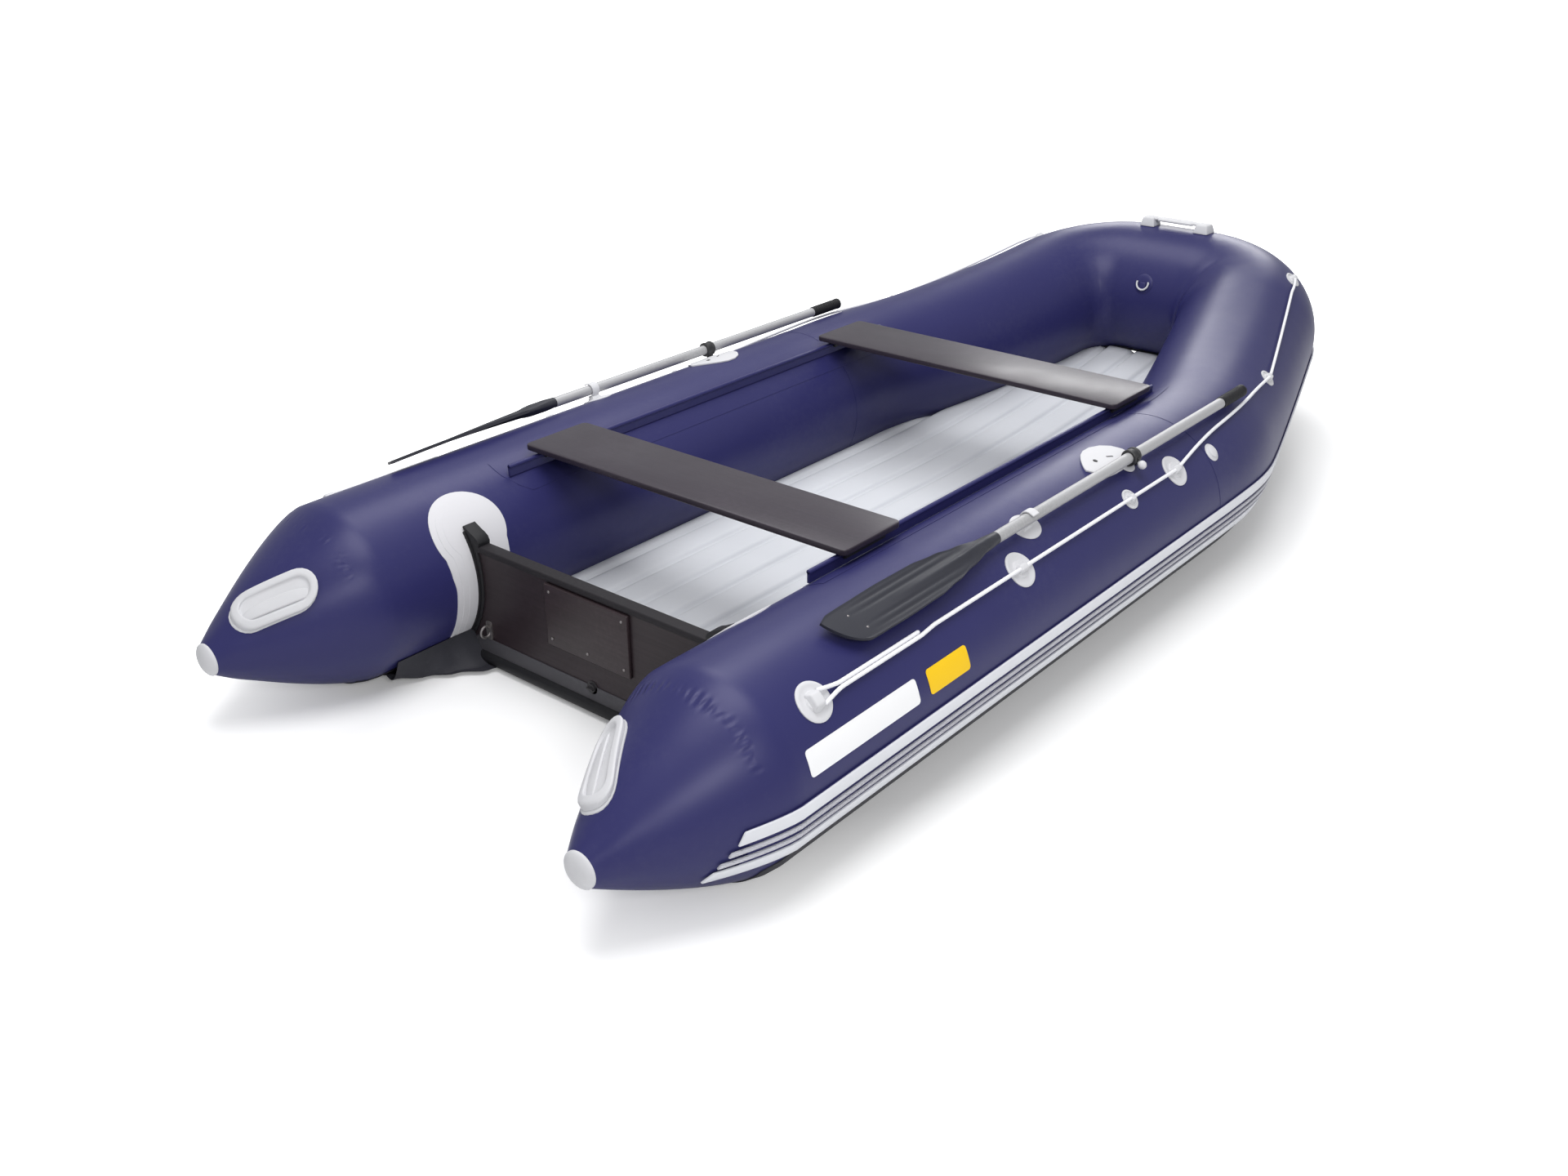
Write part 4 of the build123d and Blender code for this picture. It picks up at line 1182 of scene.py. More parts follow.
@dataclass
class AirTubes:
    """Three air chambers, their cone caps and the tapes over their joints."""

    yard: Yard
    pitch: float = 0.018
    arc_pitch: float = 0.0135
    seam: float = 0.0002
    tape_width: float = 0.03
    tape_pitch: float = 0.006
    tape_height: float = 0.0004
    tape_lift: float = 0.0002
    cap_length: float = 0.015
    crease_depth: float = 0.0055

    def build(self) -> None:
        """Build the tubes, the tapes at their joints and the caps."""
        line = self.yard.line
        lead = line.run_at(line.sheer_x)
        bow = self.skin("bow_chamber", lead, 2 * line.half_run - lead, self.bow_relief)
        self.yard.deliver(bow, Paint.NAVY, ["bow_tube"], angle=60)
        for side in Side:
            tube = self.skin(side.of("chamber"), line.run_at(line.cone_tip), lead, self.side_relief, side)
            self.yard.deliver(tube, Paint.NAVY, [side.of("tube")], angle=60)
            self.joint_tape(side)
            self.cap(side)

    def skin(self, name: str, first: float, last: float, relief: Callable[[float, float], float],
             side: Side = Side.STARBOARD) -> Piece:
        """Wrap one sheet of fabric into a closed chamber.

        Args:
            name: Name of the piece.
            first: Run of its first end.
            last: Run of its other end.
            relief: Gives its bulges and creases.
            side: Side of the boat.

        Returns:
            The chamber.
        """
        half = pi * self.yard.line.tube_radius
        sheet = cloth(name, (first, -half), (last, half), (self.pitch, self.arc_pitch))
        self.yard.line.lay(sheet, 0.0, side, true_arc=False, relief=relief)
        close_roll(sheet, self.seam)
        return sheet

    def bow_relief(self, run: float, angle: float) -> float:
        """Crease on the inner side of each corner of the bow, deeper to starboard.

        Args:
            run: Place along the hull's line.
            angle: Angle round the tube.

        Returns:
            Height off the plain tube.
        """
        line = self.yard.line
        port = run > line.half_run
        run = 2 * line.half_run - run if port else run
        inner = max(0.0, -cos(angle) - 0.25) ** 1.3
        away = run - line.bend_run - line.taper_run - 0.5 * line.corner_run
        puff = dome(away - 0.045, 0.03) + dome(away + 0.045, 0.03)
        return inner * (0.15 if port else 1.5) * (0.4 * puff - dome(away, 0.014)) * self.crease_depth

    def side_relief(self, run: float, angle: float) -> float:
        """Shallow groove at the cone's seam and a few soft folds near its tip.

        Args:
            run: Place along the hull's line.
            angle: Angle round the tube.

        Returns:
            Height off the plain tube.
        """
        line = self.yard.line
        tip = run - line.run_at(line.cone_tip)
        folds = sin(3 * angle + 0.6) + 0.7 * sin(7 * angle + 1.9)
        return (-0.0006 * dome(run - line.run_at(line.cone_start), 0.03)
                + 0.0011 * folds * dome(tip - 0.05, 0.03) - 0.0015 * dome(tip - 0.008, 0.006))

    def joint_tape(self, side: Side) -> None:
        """Add the band of fabric glued over the joint between a side tube and the bow tube.

        Args:
            side: Side of the boat.
        """
        line = self.yard.line
        run, half = line.run_at(line.sheer_x), pi * line.tube_radius
        tape = cloth(side.of("joint_tape_fore"), (run - self.tape_width / 2, -half),
                     (run + self.tape_width / 2, half), (self.tape_pitch, self.arc_pitch))
        line.lay(tape, 0.0, side, true_arc=False, relief=lambda at, turn: self.tape_lift)
        with editing(tape, "VERT"):
            bpy.ops.mesh.remove_doubles(threshold=self.seam)
        apply_modifier(tape, "SOLIDIFY", thickness=self.tape_height, offset=1.0)
        self.yard.deliver(tape, Paint.NAVY)

    def cap(self, side: Side) -> None:
        """Add the moulded cap on a cone's tip.

        Args:
            side: Side of the boat.
        """
        line = self.yard.line
        radius, length = line.cone_tip_radius, self.cap_length
        profile = [(radius * 0.9, -0.005), (radius + 0.0012, -0.0045), (radius + 0.0022, -0.002),
                   (radius + 0.0022, 0.001), (radius + 0.001, 0.0032), (radius * 0.93, length * 0.42),
                   (radius * 0.82, length * 0.6), (radius * 0.62, length * 0.82),
                   (radius * 0.36, length * 0.95), (radius * 0.08, length * 0.995)]
        cap = turned(side.of("tip_cap"), profile, 48)
        place = Vector((line.cone_tip, side.value * line.half_span, line.axis_height - line.cone_drop))
        reshape(cap, lambda p: place + Vector((-p.z, p.y, p.x)))
        face_outwards(cap)
        self.yard.deliver(cap, Paint.FITTING, [side.of("cone_cap")], angle=50)


@dataclass
class Strake:
    """Rub strake with its ribs, and the wear fabric under the tubes."""

    yard: Yard
    width: float = 0.106
    thickness: float = 0.004
    rib_height: float = 0.005
    rib_widths: tuple[float, ...] = (0.027, 0.011, 0.011, 0.027)
    broad_rib: float = 0.02
    aft: float = -1.655
    rake: float = 0.016
    end_slant: float = 0.5
    wear_thickness: float = 0.003
    wear_inner: float = radians(-120)
    top_angles: Outline = ((0.0, 4.0), (0.5, -9.0))
    gusset_aft: float = -1.5
    gusset_fore: float = -1.266
    gusset_upper: float = radians(218)
    gusset_lower: float = radians(258)
    gusset_edge: Outline = ((-1.5, 0.5), (-1.42, 0.45), (-1.36, 0.4), (-1.3, 0.35), (-1.26, 0.34))

    def top_angle(self, run: float) -> float:
        """Angle of the strake's top edge.

        Args:
            run: Place along the hull's line.

        Returns:
            The angle.
        """
        line = self.yard.line
        near = min(run, 2 * line.half_run - run)
        return radians(mix(self.top_angles, near))

    def build(self) -> None:
        """Build the strip, its ribs and the wear fabric."""
        strip = self.band("strake_strip", 0.0, self.width, under=0.0004, over=self.thickness, aft=self.aft,
                          edge=0.0012, pitch=0.012)
        self.yard.deliver(strip, Paint.STRAKE, ["rub_strake"])
        gap = (self.width - sum(self.rib_widths)) / (len(self.rib_widths) - 1)
        start = 0.0
        ribs: dict[Paint, list[Piece]] = {Paint.RIB: [], Paint.HATCHED_RIB: []}
        for number, width in enumerate(self.rib_widths):
            kind = Paint.RIB if width > self.broad_rib else Paint.HATCHED_RIB
            ribs[kind].append(self.band(f"strake_rib_{number}", start, start + width,
                                        under=self.thickness - 0.0005,
                                        over=self.thickness + self.rib_height,
                                        aft=self.aft - self.rake * number, edge=0.0022, pitch=width))
            start += width + gap
        self.yard.deliver(join("strake_broad_ribs", ribs[Paint.RIB]), Paint.RIB, ["strake_ribs"])
        self.yard.deliver(join("strake_narrow_ribs", ribs[Paint.HATCHED_RIB]), Paint.HATCHED_RIB)
        self.wear_fabric()
        for side in Side:
            self.gusset(side)

    def band(self, name: str, low: float, high: float, under: float, over: float, aft: float,
             edge: float, pitch: float) -> Piece:
        """Strip laid round the hull below the strake's top edge.

        Args:
            name: Name of the piece.
            low: Distance of its upper edge below the strake's top.
            high: Distance of its lower edge.
            under: Height of its back off the fabric.
            over: Height of its face.
            aft: Where its ends lie.
            edge: Size of its rounded edges.
            pitch: Spacing of the cuts along its length.

        Returns:
            The strip.
        """
        line = self.yard.line
        first, last = line.run_at(aft), 2 * line.half_run - line.run_at(aft)
        strip = block(name, (first, -high, under), (last, -low, over))
        round_edges(strip, edge, 2)
        slice_piece(strip, Axis.Y, steps(-high, -low, max(0.006, pitch)))
        slice_piece(strip, Axis.X, line.runs(first, last, 0.1))

        def cut_ends(point: Vector) -> Vector:
            """Slant the two ends of the strip."""
            for end, sign in ((first, 1.0), (last, -1.0)):
                if abs(point.x - end) < 0.004:
                    point.x += sign * self.end_slant * (point.y + high)
            return point
        reshape(strip, cut_ends)
        return line.lay(strip, self.top_angle)

    def wear_fabric(self) -> None:
        """Dark fabric glued under the tubes."""
        line = self.yard.line
        first = line.run_at(line.cone_start - 0.05)
        last = 2 * line.half_run - first
        top = -self.width / line.tube_radius - radians(1)
        sheet = cloth("wear_fabric", (first, 0.0), (last, 1.0), (0.03, 1 / 26))

        def spread(point: Vector) -> Vector:
            """Spread the sheet from its inner edge up to the strake."""
            upper = self.top_angle(point.x) + top
            end = min(point.x - first, last - point.x)
            upper -= 0.25 * max(0.0, 1 - end / 0.1) ** 2
            angle = self.wear_inner + (upper - self.wear_inner) * point.y
            return Vector((point.x, angle * line.tube_radius, self.wear_thickness))
        reshape(sheet, spread)
        line.lay(sheet, 0.0, true_arc=False)
        apply_modifier(sheet, "SOLIDIFY", thickness=self.wear_thickness * 0.9, offset=-1.0)
        self.yard.deliver(sheet, Paint.BOTTOM, ["port_wear_skin", "starboard_wear_skin", "bow_wear_skin"])

    def gusset(self, side: Side) -> None:
        """Dark fabric stretched from a tube to the bottom, aft of the board.

        Args:
            side: Side of the boat.
        """
        line = self.yard.line
        sheet = cloth(side.of("gusset"), (self.gusset_aft, 0.0), (self.gusset_fore, 2.0), (0.0117, 0.1))

        def stretch(point: Vector) -> Vector:
            """Stretch the sheet from the tube to the bottom and back."""
            section = line.section(line.run_at(point.x))
            edge = Vector((point.x, -mix(self.gusset_edge, point.x),
                           0.012 + 0.02 * dome(point.x - self.gusset_aft, 0.05)))
            upper = point.y < 1
            start = section.point(self.gusset_upper if upper else self.gusset_lower, 0.0025)
            share = point.y if upper else 2 - point.y
            place = start.lerp(edge, share)
            if upper:
                place.z -= 0.03 * sin(pi * share)
            return Vector((point.x, side.value * abs(place.y), max(place.z, 0.004)))
        reshape(sheet, stretch)
        apply_modifier(sheet, "SOLIDIFY", thickness=0.0015, offset=0.0)
        face_outwards(sheet)
        self.yard.deliver(sheet, Paint.BOTTOM, angle=60)


@dataclass
class AirFloor:
    """Inflatable floor with lengthwise channels."""

    yard: Yard
    top: float = 0.118
    under: float = 0.034
    rise_share: float = 0.67
    aft: float = -1.233
    channel: float = 0.11
    valley: float = 0.0085
    depth: float = 0.016
    rim: float = 0.022
    tuck: float = 0.010
    edge_count: int = 200
    cross_cuts: int = 130
    rim_width: float = 0.03

    def edges(self) -> list[tuple[float, float]]:
        """X and half width of the floor's edge, where it tucks under the tubes.

        Returns:
            The places, from aft to fore.
        """
        line = self.yard.line
        first, last = line.run_at(self.aft), line.half_run - line.front_flat / 2
        edge = []
        for run in [first, *steps(first, last, (last - first) / self.edge_count), last]:
            section = line.section(run)
            height = self.top - self.rim + self.rise_share * line.sheer(section.centre.x)
            drop = height - section.centre.z
            inner = sqrt(line.tube_radius ** 2 - drop ** 2) - self.tuck
            point = section.centre - section.outboard * inner
            edge.append((point.x, -point.y))
        return edge

    def build(self) -> None:
        """Build the floor as one stuffed piece."""
        line = self.yard.line
        edge = self.edges()
        end = edge[-1][0]
        widest = max(half for _, half in edge)
        sheet = cloth("floor_mat", (0.0, -widest), (1.0, widest), (1 / self.cross_cuts, 0.0055))

        def half_width(x: float) -> float:
            """Half width of the floor at a place."""
            for (x0, y0), (x1, y1) in zip(edge, edge[1:]):
                if x <= x1:
                    return y0 + (y1 - y0) * max(0.0, x - x0) / (x1 - x0)
            return edge[-1][1]

        def crown(x: float, y: float, half: float) -> float:
            """Depth of the channels, the rim and the ends below the top."""
            away = abs((y / self.channel) % 1.0 - 0.5) * self.channel
            valley = dome(away, self.valley) + 0.12 * (1 - 2 * away / self.channel) ** 2
            rim = max(0.0, 1 - (half - abs(y)) / self.rim_width) ** 2
            ends = max(0.0, 1 - min(x - self.aft, end - x) / self.rim_width) ** 2
            return self.depth * valley * (1 - max(rim, ends)) + self.rim * max(rim, ends)

        def shape(point: Vector) -> Vector:
            """Place a point of the top or the underside."""
            x = self.aft + (end - self.aft) * (1.4 * point.x - 0.4 * point.x ** 2)
            half = half_width(x)
            y = max(-half, min(half, point.y))
            rise = self.rise_share * line.sheer(x)
            if point.z > 0.5:
                return Vector((x, y, self.top + rise - crown(x, y, half)))
            return Vector((x, y, self.under + rise + 0.3 * crown(x, y, half)))
        with editing(sheet):
            bpy.ops.mesh.extrude_region_move(TRANSFORM_OT_translate={"value": (0, 0, 1.0)})
        reshape(sheet, shape)
        face_outwards(sheet)
        self.yard.deliver(sheet, Paint.FLOOR, ["air_floor"], angle=80)


# ---- stern


@dataclass
class Transom:
    """Plywood board, its plates, sockets, patches and small fittings."""

    yard: Yard
    aft: float = -1.265
    thickness: float = 0.03
    top: float = 0.33
    bottom: float = 0.034
    tube_gap: float = 0.0102
    edge_half: float = 0.399
    edge_lap: float = 0.0035
    outer_plate: float = 0.010
    inner_plate: float = 0.008
    socket_top: float = radians(146)
    socket_low: float = radians(218)
    patch_low: float = radians(226)
    head_radius: float = 0.108
    neck_half: float = 0.086
    tail_half: float = 0.087
    patch_layers: Outline = ((0.0, 0.0020), (0.018, 0.0027), (0.036, 0.0032))

    @property
    def middle(self) -> float:
        """X of the board's middle plane."""
        return self.aft + self.thickness / 2

    def build(self) -> None:
        """Build every piece of the stern."""
        self.board()
        self.plates()
        self.skirt()
        for side in Side:
            self.patch(side)
            self.socket(side)

    def board(self) -> None:
        """Board cut to the tubes, with a rubber edge along its top."""
        line = self.yard.line
        board = block("transom_board", (self.aft, -line.half_span, self.bottom),
                      (self.aft + self.thickness, line.half_span, self.top))
        for side in Side:
            bpy.ops.mesh.primitive_cylinder_add(
                vertices=96, radius=line.tube_radius + self.tube_gap, depth=0.3,
                location=(self.middle, side.value * line.half_span, line.axis_height),
                rotation=(0, pi / 2, 0))
            cut_out(board, new_piece("cutter"))
        with editing(board, "VERT"):
            pick(board, "vertices", lambda vertex: abs(vertex.co.y) > line.half_span - 0.05)
            bpy.ops.mesh.delete(type="VERT")
        round_edges(board, 0.0025, 2, 50)
        self.yard.deliver(board, Paint.BOARD, ["transom"])
        strip = block("transom_edge", (self.aft - self.edge_lap, -self.edge_half, self.top - 0.013),
                      (self.aft + self.thickness + self.edge_lap, self.edge_half, self.top + 0.0045))
        round_edges(strip, 0.004, 3)
        self.yard.deliver(strip, Paint.EDGING)

    def plates(self) -> None:
        """Motor plates on both faces, with the screws of the outer one."""
        face = self.aft + self.thickness
        for name, low, high, node in (
                ("motor_plate", (self.aft - self.outer_plate, -0.14, self.top - 0.18),
                 (self.aft, 0.14, self.top - 0.016), "transom_outer_plate"),
                ("inner_plate", (face, -0.17, self.top - 0.13),
                 (face + self.inner_plate, 0.17, self.top - 0.016), "transom_inner_plate")):
            plate = block(name, low, high)
            round_edges(plate, 0.003, 3)
            self.yard.deliver(plate, Paint.PLATE, [node])
        screw = turned("screw", [(0.0038, 0.0), (0.0038, 0.0008), (0.003, 0.0018), (0.001, 0.0022)], 14)
        upper, lower = self.top - 0.034, self.top - 0.160
        screws = []
        for y, z in ((-0.122, upper), (-0.122, lower), (0.122, upper), (0.122, lower), (0.0, lower)):
            one = copy_of(screw, "screw_copy")
            place = Vector((self.aft - self.outer_plate, y, z))
            reshape(one, lambda p, place=place: place + Vector((-p.z, p.y, p.x)))
            face_outwards(one)
            screws.append(one)
        bpy.data.objects.remove(screw)
        self.yard.deliver(join("plate_screws", screws), Paint.DULL_STEEL)

    def skirt(self) -> None:
        """Rubberised strip along the bottom of the board."""
        strip = block("transom_skirt", (self.aft - 0.003, -0.475, self.bottom + 0.001),
                      (self.aft, 0.475, self.bottom + 0.046))
        reshape(strip, lambda p: Vector((p.x, p.y * (1.0 if p.z < 0.06 else 0.875), p.z)))
        round_edges(strip, 0.001, 1)
        self.yard.deliver(strip, Paint.SKIRT)

    def keyhole(self, arc: float, shrink: float) -> float:
        """Half width of the keyhole patch, an arc above the centre of its head.

        Args:
            arc: Distance above the centre of its head.
            shrink: How much smaller the layer is.

        Returns:
            Half of its width.
        """
        radius = self.head_radius - shrink
        if arc > -0.05:
            return sqrt(max(0.0, radius ** 2 - arc ** 2))
        start = sqrt(radius ** 2 - 0.05 ** 2)
        table = ((-0.31, self.tail_half - shrink), (-0.19, self.tail_half - shrink),
                 (-0.135, self.neck_half - shrink),
                 (-0.09, 0.4 * self.neck_half + 0.6 * start - 0.4 * shrink), (-0.05, start))
        return mix(table, arc)

    def patch(self, side: Side) -> None:
        """Keyhole patch in three layers on the tube round the socket.

        Args:
            side: Side of the boat.
        """
        line = self.yard.line
        low = (self.socket_top - self.patch_low) * line.tube_radius
        layers = []
        for shrink, height in self.patch_layers:
            upper = self.head_radius - shrink
            rows = [upper * cos(pi / 2 * n / 12) for n in range(13)]
            rows += [*steps(0.0, low, low / 26), low]
            right = [(self.keyhole(row, shrink), row) for row in reversed(rows)]
            left = [(-x, y) for x, y in reversed(right)]
            layer = cut_plate("keyhole_layer", right + left[1:], 0.0, height)
            slice_piece(layer, Axis.Y, steps(low, upper, 0.012))
            layers.append(layer)
        patch = join(side.of("keyhole_patch"), layers)
        reshape(patch, lambda p: Vector((p.x, -p.y, p.z)))
        line.lay(patch, self.socket_top, side, start=line.run_at(self.middle))
        face_outwards(patch, merge=False)
        self.yard.deliver(patch, Paint.PALE_FABRIC, [side.of("transom_patch")], angle=25)

    def socket(self, side: Side) -> None:
        """Rubber profile that holds the board's end.

        Args:
            side: Side of the boat.
        """
        line = self.yard.line
        run = line.run_at(self.middle)
        middle = (self.socket_top + self.socket_low) / 2
        half = (self.socket_low - self.socket_top) / 2 * line.tube_radius
        flange = block("flange", (run - 0.024, -half, 0.0025), (run + 0.026, half, 0.007))
        wall = self.thickness / 2 + 0.004
        lip = block("lip", (run - wall, -half, 0.006), (run + wall, half + 0.012, 1.006))
        for piece in (flange, lip):
            slice_piece(piece, Axis.Y, steps(-half, half, 0.010))
        edge = half - 0.036
        heights = ((-half, 0.010), (0.0, 0.011), (edge - 0.03, 0.015), (edge, 0.034), (half + 0.012, 0.006))

        def ear(point: Vector) -> Vector:
            """Give the lip its height along the socket."""
            point.z = 0.006 + (point.z - 0.006) * mix(heights, point.y)
            return point
        reshape(lip, ear)
        for piece in (flange, lip):
            round_edges(piece, 0.0018, 2)
        socket = join(side.of("board_socket"), [flange, lip])
        reshape(socket, lambda p: Vector((p.x, -p.y, p.z)))
        line.lay(socket, middle, side)
        face_outwards(socket, merge=False)
        self.yard.deliver(socket, Paint.RUBBER, [side.of("transom_socket")])


# ---- benches


@dataclass
class Bench:
    """Sliding bench."""

    yard: Yard
    name: str
    aft: float
    width: float
    top: float = 0.482
    thickness: float = 0.015
    half_length: float = 0.528
    corner: float = 0.016

    def build(self) -> None:
        """Build the board of the bench."""
        board = block(self.name + "_board", (self.aft, -self.half_length, self.top - self.thickness),
                      (self.aft + self.width, self.half_length, self.top))

        def upright(edge: bpy.types.MeshEdge) -> bool:
            """Tell whether an edge stands upright."""
            first, last = (board.data.vertices[n].co.z for n in edge.vertices)
            return abs(first - last) > self.thickness / 2
        with editing(board, "EDGE"):
            pick(board, "edges", upright)
            bpy.ops.mesh.bevel(offset=self.corner, segments=5, affect="EDGES")
        round_edges(board, 0.0028, 3)
        self.yard.deliver(board, Paint.BENCH, [self.name + "_seat"], self.name + "_bench")


@dataclass
class SeatTrack:
    """Fabric flap on a tube with the beaded rail that holds the benches."""

    yard: Yard
    aft: float = -1.078
    fore: float = 0.584
    low: float = radians(108)
    high: float = radians(138)
    thickness: float = 0.0011
    bead_radius: float = 0.006
    bead_y: float = 0.494
    bead_z: float = 0.453
    rail_fore: float = 0.55
    web_half: float = 0.003
    web_depth: float = 0.026

    def build(self) -> None:
        """Build the flap and rail of both sides."""
        line = self.yard.line
        first, last = line.run_at(self.aft), line.run_at(self.fore)
        half = (self.high - self.low) / 2 * line.tube_radius
        for side in Side:
            flap = block("flap", (first, -half, 0.0003), (last, half, self.thickness))
            slice_piece(flap, Axis.X, [first + 0.004, first + 0.03, first + 0.06, *line.runs(
                first + 0.07, last - 0.07, 0.06), last - 0.06, last - 0.03, last - 0.004])
            slice_piece(flap, Axis.Y, steps(-half, half, 0.012))

            def trim(point: Vector) -> Vector:
                """Narrow the flap towards its ends."""
                end = min(point.x - first, last - point.x)
                reach = half * (0.25 + 0.75 * sqrt(max(0.0, min(1.0, end / 0.06))))
                point.y = -half + (point.y + half) * reach / half
                return point
            reshape(flap, trim)
            line.lay(flap, (self.low + self.high) / 2, side)
            round_edges(flap, 0.0008, 1, 60)
            rail = self.rail(side)
            track = join(side.of("rail_flap"), [flap, rail])
            self.yard.deliver(track, Paint.NAVY, [side.of("seat_track")])

    def rail(self, side: Side) -> Piece:
        """Bead on its web.

        Args:
            side: Side of the boat.

        Returns:
            The rail.
        """
        start = self.aft + 0.02
        length = self.rail_fore - start
        bpy.ops.mesh.primitive_cylinder_add(
            vertices=20, radius=self.bead_radius, depth=length,
            location=((start + self.rail_fore) / 2, side.value * self.bead_y, self.bead_z),
            rotation=(0, pi / 2, 0))
        bead = new_piece("bead")
        round_edges(bead, 0.002, 2)
        y = side.value * self.bead_y
        web = block("web", (start, y - self.web_half, self.bead_z - self.web_depth),
                    (self.rail_fore, y + self.web_half, self.bead_z))
        return join("rail", [bead, web])


# ---- oars


@dataclass
class Oar:
    """Oar with its swivel, and the pad and clip that carry it."""

    yard: Yard
    side: Side
    angle: float = radians(65)
    lift: float = 0.032
    pin_x: float = -0.035
    clip_x: float = -0.533
    shaft_radius: float = 0.0145
    fore: float = 0.665
    aft: float = 1.235
    grip: float = 0.14
    blade: float = 0.59

    @property
    def body(self) -> str:
        """CAD body of the oar."""
        return self.side.of("oar")

    def settle(self, obj: Piece, x: float | None = None) -> Piece:
        """Move a piece from the oar's own frame to its place on the boat.

        Args:
            obj: The piece, with X along the shaft, Y inboard and Z out of the tube.
            x: Place along the tube, at the pin if none is given.

        Returns:
            The piece, facing outwards.
        """
        line = self.yard.line
        out = Vector((0, -cos(self.angle), sin(self.angle)))
        across = out.cross(Vector((1, 0, 0)))
        origin = Vector((self.pin_x if x is None else x, -line.half_span, line.axis_height))
        origin += out * (line.tube_radius + self.lift)

        def move(point: Vector) -> Vector:
            """Place a point on the boat."""
            place = origin + Vector((point.x, 0, 0)) + across * point.y + out * point.z
            if self.side is Side.PORT:
                place.y = -place.y
            return place
        reshape(obj, move)
        if self.side is Side.PORT:
            flip(obj)
        return obj

    def on_shaft(self, name: str, profile: Outline, segments: int) -> Piece:
        """Piece turned round the shaft, in the oar's own frame.

        Args:
            name: Name of the piece.
            profile: Radius and place along the shaft of each ring.
            segments: Corners of each ring.

        Returns:
            The piece.
        """
        obj = turned(name, profile, segments)
        reshape(obj, lambda p: Vector((p.z, p.x, p.y)))
        return obj

    def build(self) -> None:
        """Build the oar and what carries it."""
        self.make_shaft()
        self.make_grip()
        self.make_blade()
        self.make_swivel()
        self.make_pad()
        self.make_clip()

    def make_shaft(self) -> None:
        """Aluminium tube with a sleeve where the blade starts."""
        start, end = self.blade - self.aft, self.fore - self.grip
        r = self.shaft_radius
        profile = [(r, start), (r + 0.0001, start + 0.02), (r, (start + end) / 2), (r, end)]
        shaft = self.settle(self.on_shaft(self.side.of("oar_tube"), profile, 40))
        self.yard.deliver(shaft, Paint.ALUMINIUM, [self.side.of("oar_shaft")], self.body)

    def make_grip(self) -> None:
        """Ribbed rubber grip."""
        start = self.fore - self.grip
        r, groove, count = 0.0172, 0.0016, 13
        profile = [(0.0148, start - 0.002), (r - 0.001, start), (r, start + 0.003)]
        step = (self.grip - 0.028) / count
        for n in range(count):
            x = start + 0.010 + n * step
            profile += [(r, x), (r - groove, x + step * 0.15), (r - groove, x + step * 0.45),
                        (r, x + step * 0.6)]
        profile += [(r, self.fore - 0.014), (0.018, self.fore - 0.011), (0.018, self.fore - 0.003),
                    (0.0155, self.fore - 0.0004), (0.006, self.fore)]
        grip = self.settle(self.on_shaft(self.side.of("oar_handgrip"), profile, 28))
        self.yard.deliver(grip, Paint.RUBBER, [self.side.of("oar_grip")], self.body, 45)

    def make_blade(self) -> None:
        """Moulded blade with a fading spine, side grooves, a slanted tip and three rivets."""
        neck, length = self.blade - self.aft, self.blade - 0.014
        halves = ((0.0, 0.0150), (0.05, 0.0185), (0.13, 0.0305), (0.20, 0.0410), (0.28, 0.0485),
                  (0.40, 0.0505), (0.50, 0.0490), (0.60, 0.0465))
        sheet = cloth(self.side.of("oar_paddle"), (0.0, -1.0), (length, 1.0), (0.008, 1 / 26))
        with editing(sheet):
            bpy.ops.mesh.extrude_region_move(TRANSFORM_OT_translate={"value": (0, 0, 1.0)})

        def shape(point: Vector) -> Vector:
            """Place a point of the blade's face or back."""
            along, side, top = point.x, point.y, point.z > 0.5
            half = mix(halves, along)
            y = side * half
            flat = min(1.0, along / 0.13)
            round_z = sqrt(max(0.0, 1 - side * side)) * half
            spine = 0.0125 * max(0.0, 1 - along / 0.40) ** 1.1
            skin = 0.0030 + 0.0010 * (1 - abs(side)) ** 0.5
            reach = max(0.0, min(1.0, (along - 0.12) / 0.12)) * max(0.0, min(1.0, (0.52 - along) / 0.1))
            grooves = 0.0022 * reach * sum(dome(abs(y) - at, 0.0042) for at in (0.018, 0.034))
            rim = 0.0014 * dome(half - abs(y), 0.003)
            z = (1 - flat) * round_z + flat * (skin + spine * dome(y, 0.0095) - grooves + rim)
            spoon = -0.008 * (max(0.0, along - 0.15) / 0.44) ** 2
            share = along / length
            tip = 0.57 * y * share ** 3 - 0.012 * side * side * share ** 6
            corner = 1 - 0.16 * max(0.0, (share - 0.965) / 0.035) * side * side
            return Vector((neck - along - tip, y * corner, spoon + (z if top else -z * 0.92)))
        reshape(sheet, shape)
        self.settle(sheet)
        face_outwards(sheet)
        self.yard.deliver(sheet, Paint.BLADE, [self.side.of("oar_blade")], self.body, 50)
        rivets = []
        for x, y in ((-0.062, 0.021), (-0.078, 0.0), (-0.060, -0.022)):
            rivet = turned("rivet", [(0.0034, 0.0), (0.0034, 0.0012), (0.002, 0.0021)], 12)
            place = Vector((neck - length - x - 0.4 * y, y, -0.0035))
            reshape(rivet, lambda p, place=place: place + p)
            rivets.append(rivet)
        dots = self.settle(join(self.side.of("blade_rivets"), rivets))
        self.yard.deliver(dots, Paint.DULL_STEEL, body=self.body)

